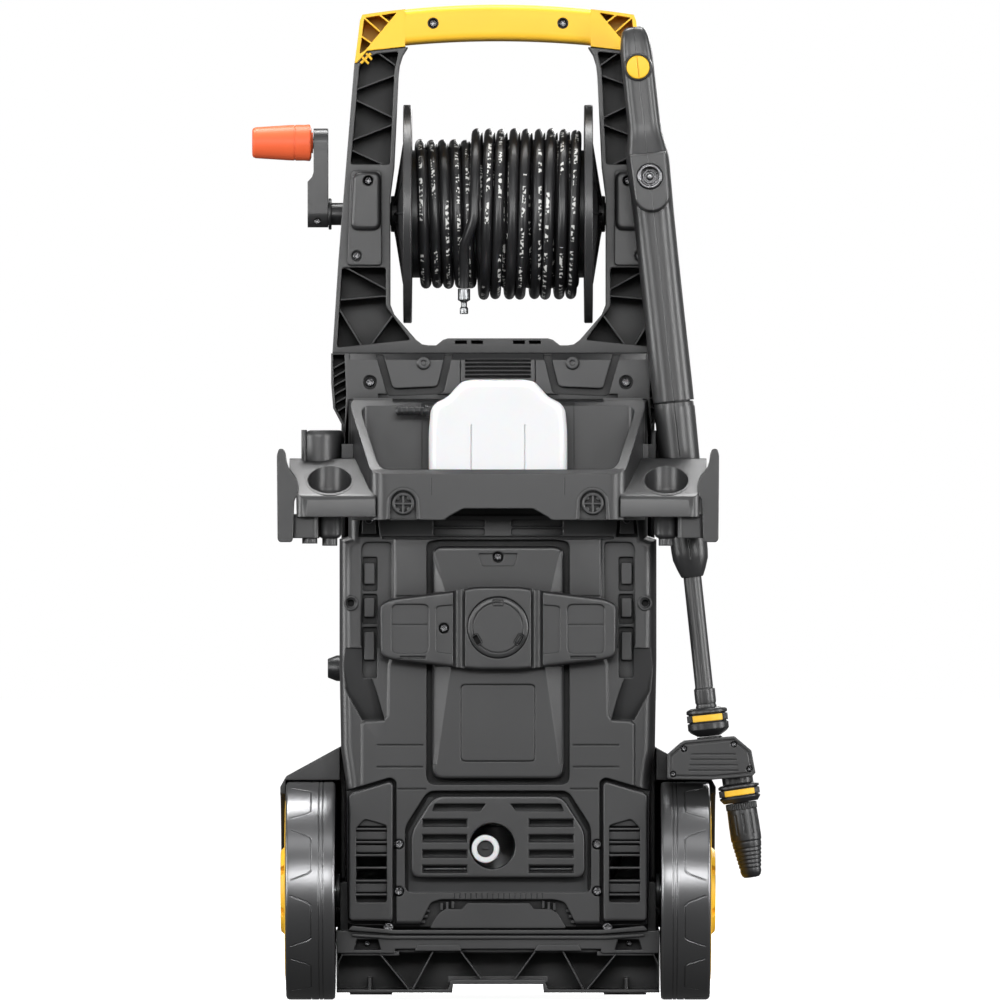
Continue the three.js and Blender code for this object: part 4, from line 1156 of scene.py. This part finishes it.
def make_crossbar():
    bottom = [(22, 330.4), (44, 333), (106, 340)]
    outline = symmetric([*bottom, (117.8, 344), (118.6, 396), (107, 401.5), (44, 409.5), (22, 413.6)])
    bar = stepped(outline, [(-140, 3.4), (-139.2, 1.5), (-137, 0.3), (-134.5, 0), (-119, 0)], 7)
    feet = plate([(75, 340), (115, 345), (115, 396), (75, 400)], -120, -112)
    bands = rod("z", 6.2, 320, 425, 38.8, -139.6, 40)
    pad_room = plate(rectangle(69, 106.4, 347, 396), -145, -138.2, 6)
    line = box(70, 105.4, -138.6, -137.8, 375, 375.9)
    pocket_room = plate([(62, 348), (62, 394), (40, 396), (40, 346)], -145, -138.6, 4)
    slot = plate(rectangle(72, 98, 341.6, 344), -145, -138.4, 1)
    bar = cut(joined(bar, both(feet)), both(bands, pad_room, line, pocket_room, slot))
    bar = cut(bar, rod("y", 30.9, -145, -133.8, 0, CAP_Z, 72), well(-54, 372, 5.4, -139, 6))
    piece("rear_crossbar", bar, "charcoal", "root", ["crossbar"], edge=0)
    screws("crossbar_screw", [screw(-54, -137.4, 372, 3.9)])
    cap = [(0, -141.6), (28.6, -141.6), (30, -140.8), (30.3, -139.8), (30.3, -134.2), (0, -134.2)]
    rim = soften(rectangle(-5.5, 5.5, -2.4, 4.4), 1.6)
    tabs = []
    for angle in (math.radians(degrees) for degrees in (90, 210, 330)):
        (x, z), = on_circle(0, CAP_Z, 23.5, [angle])
        turn = Matrix.Rotation(-(angle - math.pi / 2), 4, "Y")
        tabs.append(moved(groove(rim, 0.8, -143, -140.9), Matrix.Translation((x, 0, z)) @ turn))
    disc = cut(turned("y", cap, 0, CAP_Z), ring("y", 24.6, 25.5, -143, -140.9, 0, CAP_Z), tabs)
    piece("crossbar_disc", disc, "charcoal", "root", ["crossbar_cap"], edge=0)


def make_vents():
    levels = [(-121.6, 2.4), (-120.8, 0.8), (-119, 0), (-106, 0)]
    panel = stepped(vent_outline(87, 204.5, 122.5), levels, 9, 5)
    openings = rectangles(31.5, 75, [(z, z + 6.4) for z in (174.2, 158.8, 143.4, 128.2)])
    slots = [plate(opening, -125, -104, 1.2) for opening in openings]
    slots.append(plate([(18, 189), (66, 189), (63, 196.6), (12, 196.6)], -125, -104, 1.2))
    bevels = [stepped(opening, [(-122, -1.6), (-120.2, 0)]) for opening in openings]
    panel = cut(panel, both(merged(bevels)), both(merged(slots)))
    hole = [(0, -125), (24.2, -125), (22.6, -119.6), (22.4, -104), (0, -104)]
    panel = cut(panel, turned("y", hole, VENT_X, VENT_Z))
    piece("vent_plate", panel, "charcoal", "root", ["lower_vent_panel"], edge=0)
    liner = plate(symmetric([(90, 100), (90, 168), (70, 203)]), -102.4, -101.6)
    piece("vent_backing", cut(liner, rod("y", 24, -110, -95, VENT_X, VENT_Z, 48)), "black", "root", edge=0)
    piece("vent_wires", merged(both(rod("x", 0.9, 28, 74, -110, 131.4, 12))), "steel", "root", edge=0)


def make_side_vents():
    shape = [(104.6, 79), (104.6, 216), (108, 219.4), (147, 207.6), (149.6, 204), (149.6, 82), (147, 79)]
    grille = stepped(shape, [(-118.6, 2.6), (-117.8, 1.0), (-116, 0.2), (-114, 0), (-105, 0)], 3)
    opening = [(111, 175), (133, 181.5), (142, 172), (142, 98), (111, 98)]
    grille = cut(grille, plate(opening, -122, -104, 3))
    slats = [box(109, 143, -117.4, -112, z, z + 2.2) for z in (170.2, 157, 144, 131.4, 118.4, 104.6)]
    spans = ((147.8, 155), (160.6, 168.6), (174, 182), (108, 116.6))
    shelves = [box(109, 143, -114.5, -106, low, high) for low, high in spans]
    grille = joined(grille, merged(slats), merged(shelves))
    pair("side_vent_{}", grille, "charcoal", "root", "side_grille_{}", edge=0)


def make_inlet():
    profile = [
        (8.4, -117.2), (9.2, -118), (13.2, -118), (14, -117.2), (14, -100), (10, -98), (10, 15.7),
        (8.4, 15.7),
    ]
    connector = turned("y", profile, TAP_X, TAP_Z, 64)
    piece("inlet_connector", connector, "white_tank", "root", ["water_inlet"], edge=0)
    mark = box(TAP_X - 3, TAP_X + 3, -113.4, -111, TAP_Z - 0.8, TAP_Z + 0.8)
    core = joined(rod("y", 8.2, -112, -98, TAP_X, TAP_Z, 40), mark)
    piece("inlet_filter", core, "black", "root", edge=0.2)


def make_base():
    body = plate(symmetric([(44.6, 16), (45.6, 7.5), (161.6, 7.5), (161.6, 69.7)]), -112, 168)
    body = cut(body, plate(symmetric([(46, 24), (50, 12), (153, 12), (153, 60)]), -56, 163))
    room = symmetric([(46, 20.5), (50, 10.8), (160.4, 10.8), (160.4, 47)])
    body = cut(body, plate(room, -115, -60), both(box(50, 148, -52, 108, 6, 13)))
    body = cut(body, both(plate([(117, 50.4), (144, 50.4), (141, 61), (120, 61)], -115, -96)))
    body = cut(body, box(-103, 103, -115, -106, 47, 51.4), box(-104, 104, -115, -104, 44, 48))
    lines = [
        ((118.7, 47), (88.6, 10.4)), ((63.7, 51), (85.4, 10.4)), ((38.8, 51), (16.8, 21)),
        ((154.7, 47.4), (161, 34)),
    ]
    walls = [rib(start, end, -110.5, -62, 1.5) for start, end in lines]
    walls.append(box(126.6, 130, -100, -60, 10, 22))
    tabs = plate([(36, 49.4), (83.5, 49.4), (80, 55.6), (40, 55.6)], -113.4, -104, 1)
    body = joined(body, both(walls), both(tabs), box(-50, 50, -104, -98, 17, 24))
    body = joined(body, both(box(99, 157, -110, -100, 44.6, 49)))
    body = cut(body, both(rod("x", 8.3, 140, 165, WHEEL_Y, WHEEL_Z)))
    cheek = cut(plate(rectangle(146, 158, 60, 118), -95, -67, 3), rod("x", 8.3, 140, 165, WHEEL_Y, WHEEL_Z))
    piece("base_tray", joined(body, both(cheek)), "charcoal", "root", ["base_frame"], edge=0)
    spacers = merged(both(ring("x", 8.6, 17, 158.2, 162, WHEEL_Y, WHEEL_Z)))
    piece("axle_spacers", spacers, "black", "root", edge=0.4)
    lip = plate(symmetric([(104, 66.6), (150, 70), (146, 74.6), (104, 70.4)]), -117, -104, 1)
    lower = plate(symmetric([(110, 61.4), (146, 64), (146, 66.4), (108, 64.6)]), -115.5, -104, 0.8)
    piece("casing_sills", merged([lip, lower]), "charcoal", "root", edge=0.8)
    screws("base_screws", both(screw(131, -101, 56.7, 2.6, 2.0)), edge=0.1)


def make_upper_cover():
    low, high = 600.3, 646.7
    body = prism("x", [(-95, low), (134, low), (96, high), (-88, high), (-95, 640)], -150, 150)
    body = cut(body, prism("x", [(-84, 590), (126, 590), (92, high - 4), (-84, high - 4)], -145, 145))
    wing = [(149, high), (149, 603), (152.7, 568.4), (165, 592), (167, 617), (167, high)]
    inner = [(153, high - 1), (151.4, 606), (153, 574), (163, 592), (165, 617), (165.6, high - 1)]
    fins = [rib((150, 640 - 9 * i), (168, 630 - 9 * i), -93, -62, 1.4) for i in range(6)]
    wing_room = cut(plate(inset(inner, 0.4), -97, -66), fins)
    body = cut(joined(body, both(plate(wing, -95, -58.6))), both(wing_room))
    island = [(51.6, 652), (60.6, 613.6), (105, 611.6), (116.4, 652)]
    moat = cut(plate(inset(island, -7.6), -100, -86.5, 5), plate(island, -101, -80, 4))
    body = cut(body, both(cut(moat, box(0, 200, -105, -80, high - 1.2, 670))))
    boss = [(0, -97.4), (2.2, -97.4), (3, -98.4), (5.4, -98.4), (6.6, -97.6), (6.6, -88), (0, -88)]
    body = joined(body, both(turned("y", boss, 74.5, 637.2, 40)))
    body = cut(body, groove(soften(rectangle(-38, 38, 612, 643), 5), 1.2, -97, -93.8))
    slats = plates(rectangles(-33, 33, [(622 + 4 * i, 624.6 + 4 * i) for i in range(5)]), -97, -88, 0.8)
    body = cut(body, slats, both(well(128, 617.7, 7, -95, 6)), box(-120, 120, -97, -91, 598, 606))
    deck = groove(soften(rectangle(-132, 132, 8, 84), 9), 1.6, 645.2, 660, "z")
    body = cut(body, deck, merged([box(-90, 90, y, y + 2, 645.4, 660) for y in (34, 42, 50, 58)]))
    piece("shoulder_cover", body, "charcoal", "root", ["upper_cover"], edge=0)
    screws("shoulder_screws", both(screw(128, -92.6, 617.7, 4.4)))


# ---- accessory bracket ----
def make_bracket():
    plan = [(-150.5, -115.3), (-124.5, -200), (124.5, -200), (150.5, -115.3)]
    outer = prism("z", soften(plan, 15, 6), 480, 602)
    inner = prism("z", soften(inset(plan, 9), 11, 6), 496, 604)
    slope = [(-118, 600), (-118, 640), (-215, 640), (-215, 528), (-199, 526), (-190, 531)]
    slope = prism("x", slope, -165, 165)
    middle = plate(symmetric([(56, 478), (50, 483), (35, 491.5)]), -215, -110, 2)
    tub = cut(outer, inner, slope, middle, both(box(60, 116, -195, -119, 476, 490)))
    tub = cut(tub, box(-105, 105, -120, -110, 530, 604), box(-76, 76, -124, -110, 500, 604))
    tub = cut(tub, both(box(66, 66.5, -201, -199.4, 505, 522)))

    def lock_seat(radius):
        rounded = on_circle(LOCK_X, 497, radius, arc(0, 180, 16))
        return [(LOCK_X + radius * 1.06, 480.6), *rounded, (LOCK_X - radius * 1.06, 480.6)]

    rim, pad = lock_seat(15.6), lock_seat(12.6)
    tub = cut(tub, both(plate(pad, -205, -197.4)))
    tub = joined(tub, both(cut(plate(rim, -201.6, -190), plate(pad, -210, -185))))
    body = joined(tub, both(make_tray()), rod("z", 7.6, 456.6, 470, -187.5, -180))
    body = cut(body, both(rod("y", 8.2, -205, -184, LOCK_X, LOCK_Z)))
    piece("accessory_holder", body, "charcoal", "root", ["accessory_bracket"], edge=0)


def make_locks():
    profile = [
        (0, -200.6), (8.2, -200.6), (8.2, -203.8), (10.2, -203.8), (10.8, -203), (10.8, -199.2),
        (7.5, -199.2), (7.5, -187), (0, -187),
    ]
    head = turned("y", profile, LOCK_X, LOCK_Z, 56)
    bars = joined(
        box(LOCK_X - 8.5, LOCK_X + 8.5, -203.6, -200, LOCK_Z - 1, LOCK_Z + 1),
        box(LOCK_X - 1, LOCK_X + 1, -203.6, -200, LOCK_Z - 8.5, LOCK_Z + 8.5),
    )
    signs = [(-1, -1), (-1, 1), (1, -1), (1, 1)]
    lugs = [rod("y", 1.9, -203.4, -200, LOCK_X + 5.4 * a, LOCK_Z + 5.4 * b, 16) for a, b in signs]
    pair("lock_dial_{}", joined(head, bars, merged(lugs)), "charcoal", "lock_{}", "bracket_lock_{}", edge=0.4)


def make_tray():
    """The tray, cup, guard and outer fin at the bracket's right end."""
    side = [
        (-140, 541.5), (-140, 535), (-192, 502), (-193, 483), (-200, 483), (-200, 500), (-198.4, 503.4),
        (-195, 506),
    ]
    tray = prism("x", side, 122, 208)
    front_corner = cut(box(190, 215, -205, -180, 478, 520), rod("z", 12, 470, 530, 189.6, -188, 40))
    keep_side, keep_back = box(180, 201.6, -188, -170, 470, 530), box(180, 189.6, -210, -170, 470, 530)
    tray = cut(tray, cut(front_corner, keep_side, keep_back))
    cup = [
        (0, 454.4), (7.2, 454.4), (7.6, 455), (7.6, 461.6), (10.6, 463.4), (11.8, 466), (12, 484), (24, 505),
        (24, 541), (0, 541),
    ]
    bore = [(0, 468), (9, 468), (9, 487), (20.6, 507), (21.6, 512), (21.6, 545), (0, 545)]
    above = prism("x", [(-139, 541.9), (-200.4, 503), (-215, 503), (-215, 570), (-139, 570)], 120, 214)
    fin = [
        (204.5, 461), (206, 458), (217.5, 458), (219.5, 461), (220.2, 545), (218.2, 551), (213.6, 551),
        (211.6, 546), (210.8, 539), (209, 533), (206, 528), (202, 524), (199, 515), (199, 506), (203, 500),
    ]
    guard = prism("z", soften([(178, -150), (178, -189), (207, -189), (207, -150)], 7), 462, 486)
    cup = cut(turned("z", cup, CUP_X, CUP_Y, 56), above)
    body = joined(tray, cup, guard, plate(fin, -193, -148, 2.5))
    return cut(body, turned("z", bore, CUP_X, CUP_Y, 56))


def make_clips():
    """The clips in front of the trays, open outwards; the right one holds the lance."""
    rounded = [(0, 529), (26.3, 529), (26.3, 563), (25.6, 567), (23.8, 569.3), (21, 570), (0, 570)]
    block = joined(turned("z", rounded, CLIP_X, CLIP_Y, 64), box(139, 156, -134, -115.6, 529, 556))
    bore = 22.1
    mouth = box(CLIP_X + 8, 215, CLIP_Y - bore, CLIP_Y + bore, 520, 580)
    block = cut(block, joined(rod("z", bore, 520, 580, CLIP_X, CLIP_Y, 64), mouth))
    block = joined(block, [rod("z", 2.6, 529, 570, 193.6, CLIP_Y + 24 * side, 20) for side in (-1, 1)])
    right, left = both(block)
    right = cut(right, box(150, 212, -150, CLIP_Y + 1, 532, 576))
    for side, item in (("right", right), ("left", left)):
        piece(f"lance_clip_{side}", item, "charcoal", "root", edge=0.9)


# ---- detergent tank ----
def make_tank():
    corner = [(69, 508), (69, 568), (67, 590), (62, 597), (50, 602.5), (42, 612), (36, 618), (26, 620)]
    outline = soften(symmetric([(60, 497), *corner]), 9, 6)
    levels = [
        (-187.6, 9), (-186.4, 6), (-183.6, 3), (-179, 1), (-172, 0), (-134, 0), (-127, 1), (-122.5, 3),
        (-120, 7),
    ]
    middle_z, half = 558, 75
    sections = []
    for y, pull in levels:
        size = 1 - pull / half
        sections.append([(x * size, y, middle_z + (z - middle_z) * size) for x, z in outline])
    body = cut(loft(sections), both(box(26.2, 27.2, -190, -186.4, 500, 575)))
    body = cut(body, both(box(52, 75, -190, -176, 496, 530)))
    piece("soap_tank", body, "white_tank", "tank", ["detergent_tank"], edge=0)
    profile = [(0, -69.3), (6.4, -69.3), (6.4, -73), (4.6, -73.6)]
    for i in range(5):
        x = -74 - 5.6 * i
        profile += [(4.2, x), (5.0, x - 3.8), (4.2, x - 4.4)]
    profile += [(3.4, -102), (2.2, -102), (2.2, -100), (0, -100)]
    piece("tank_spout", turned("x", profile, -150, 589, 32), "black", "tank", ["tank_barb"], edge=0)


make_rear_cover()
make_centre_panel()
make_crossbar()
make_vents()
make_side_vents()
make_inlet()
make_base()
make_upper_cover()
make_bracket()
make_locks()
make_clips()
make_tank()


# ---- front shell, the side away from the camera ----
def solid_of(node_name):
    """A CAD node's shape as a solid in machine millimetres."""
    node = frame["nodes"][node_name]
    item = linked(node.data.copy())
    item.data.transform(TO_ROW.inverted() @ node.matrix_world)
    weld(item.data, PIECE_WELD)
    for name in ("custom_normal", "sharp_edge", "sharp_face"):
        if name in item.data.attributes:
            item.data.attributes.remove(item.data.attributes[name])
    return item


def shifted(item, x, y, z):
    return moved(copied(item), Matrix.Translation((x, y, z)))


def make_front_shell():
    """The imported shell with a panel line, a blank plate, grip grooves and side louvres sunk into it."""
    shell = solid_of("front_cover")
    outer = [(-116, 574), (-104, 330), (-88, 128), (88, 128), (104, 330), (116, 574)]
    inner = [(-114.4, 572.4), (-102.4, 330), (-86.6, 129.6), (86.6, 129.6), (102.4, 330), (114.4, 572.4)]
    line = cut(prism("y", soften(outer, 16, 6), 90, 240), prism("y", soften(inner, 15, 6), 80, 250))
    blank = plate(rectangle(-58, 58, 515, 548), 90, 240, 6)
    grip_lines = [box(-70, 70, 90, 240, z, z + 2.0) for z in (334, 342, 350)]
    front_tools = cut(merged([line, blank, *grip_lines]), shifted(shell, 0, -1.5, 0))
    louvres = []
    for low in range(398, 504, 15):
        slot = soften([(8, low), (112, low + 14), (112, low + 19), (8, low + 5)], 2.4)
        louvres.append(prism("x", slot, 120, 175))
    edge_line = prism("x", [(-40, 372), (150, 398), (150, 399.6), (-40, 373.6)], 120, 175)
    side_tools = cut(merged([*louvres, edge_line]), shifted(shell, -1.8, 0, 0))
    shell = cut(shell, front_tools, both(side_tools))
    piece("front_shell", shell, "charcoal", "root", ["front_cover"], edge=0)


make_front_shell()


# ---- CAD nodes that keep their shape ----
SLOTS = {entry["node"]: entry["material_slot"] for entry in frame["record"]["subparts"]}
for node_name, node_slot in SLOTS.items():
    if not frame["nodes"][node_name].hide_render:
        dress(node_name, node_slot)


# ---- floor, lights and world ----
WHITE = (1, 1, 1, 1)


def make_stage():
    bpy.ops.mesh.primitive_plane_add(size=60, location=(0, 0, -0.0005))
    floor = bpy.context.object
    floor.name = "floor"
    paint = Paint("floor_paint", (0.9, 0.9, 0.9), 0.8, Specular_IOR_Level=0.1)
    set_inputs(paint.shader, Emission_Color=WHITE, Emission_Strength=0.97)
    floor.data.materials.append(paint.material)
    floor.visible_glossy = False
    floor.visible_diffuse = False


def area_light(name, location, target, size, power):
    data = bpy.data.lights.new(name, "AREA")
    data.shape = "RECTANGLE"
    data.size, data.size_y = size
    data.energy = power
    light = bpy.data.objects.new(name, data)
    scene.collection.objects.link(light)
    light.location = location
    light.visible_camera = False
    light.rotation_euler = (Vector(target) - Vector(location)).to_track_quat("-Z", "Y").to_euler()
    return light


def make_world():
    """White behind the machine; what lights it is dimmer, brightest overhead."""
    world = bpy.data.worlds.new("studio")
    scene.world = world
    world.use_nodes = True
    tree = world.node_tree
    tree.nodes.clear()
    output = tree.nodes.new("ShaderNodeOutputWorld")
    seen = set_inputs(tree.nodes.new("ShaderNodeBackground"), Color=WHITE, Strength=1.0)
    lit = set_inputs(tree.nodes.new("ShaderNodeBackground"), Strength=0.75)
    mix = tree.nodes.new("ShaderNodeMixShader")
    path = tree.nodes.new("ShaderNodeLightPath")
    coords = tree.nodes.new("ShaderNodeTexCoord")
    split = tree.nodes.new("ShaderNodeSeparateXYZ")
    ramp = tree.nodes.new("ShaderNodeValToRGB")
    rise = set_inputs(tree.nodes.new("ShaderNodeMapRange"), From_Min=-1)
    elements = ramp.color_ramp.elements
    for place, shade in ((0.0, 0.10), (0.44, 0.12), (0.53, 0.3), (0.66, 0.12), (0.86, 0.10), (1.0, 0.5)):
        element = elements.new(place) if place not in (0.0, 1.0) else elements[0 if place == 0.0 else -1]
        element.color = (shade, shade, shade, 1)
    tree.links.new(coords.outputs["Generated"], split.inputs["Vector"])
    tree.links.new(split.outputs["Z"], rise.inputs["Value"])
    tree.links.new(rise.outputs["Result"], ramp.inputs["Fac"])
    tree.links.new(ramp.outputs["Color"], lit.inputs["Color"])
    tree.links.new(path.outputs["Is Camera Ray"], mix.inputs["Fac"])
    tree.links.new(lit.outputs["Background"], mix.inputs[1])
    tree.links.new(seen.outputs["Background"], mix.inputs[2])
    tree.links.new(mix.outputs["Shader"], output.inputs["Surface"])


def make_light():
    make_world()
    aim = (0, 0, 0.5)
    area_light("front", (0, -5.4, 1.75), aim, (2.6, 1.0), 100)
    area_light("above", (0, -1.5, 1.95), aim, (2.0, 0.7), 7)
    area_light("top", (0, 0.45, 3.0), aim, (2.6, 0.7), 110)
    area_light("far", (1.6, 4.8, 2.2), aim, (2.6, 1.6), 110)
    for side in (-1, 1):
        area_light("quarter", (3.3 * side, -4.2, 1.2), aim, (0.7, 2.2), 110)
        area_light("side", (3.4 * side, -0.6, 1.0), aim, (0.8, 2.4), 75)


make_stage()
make_light()
scene.view_settings.view_transform = "Standard"
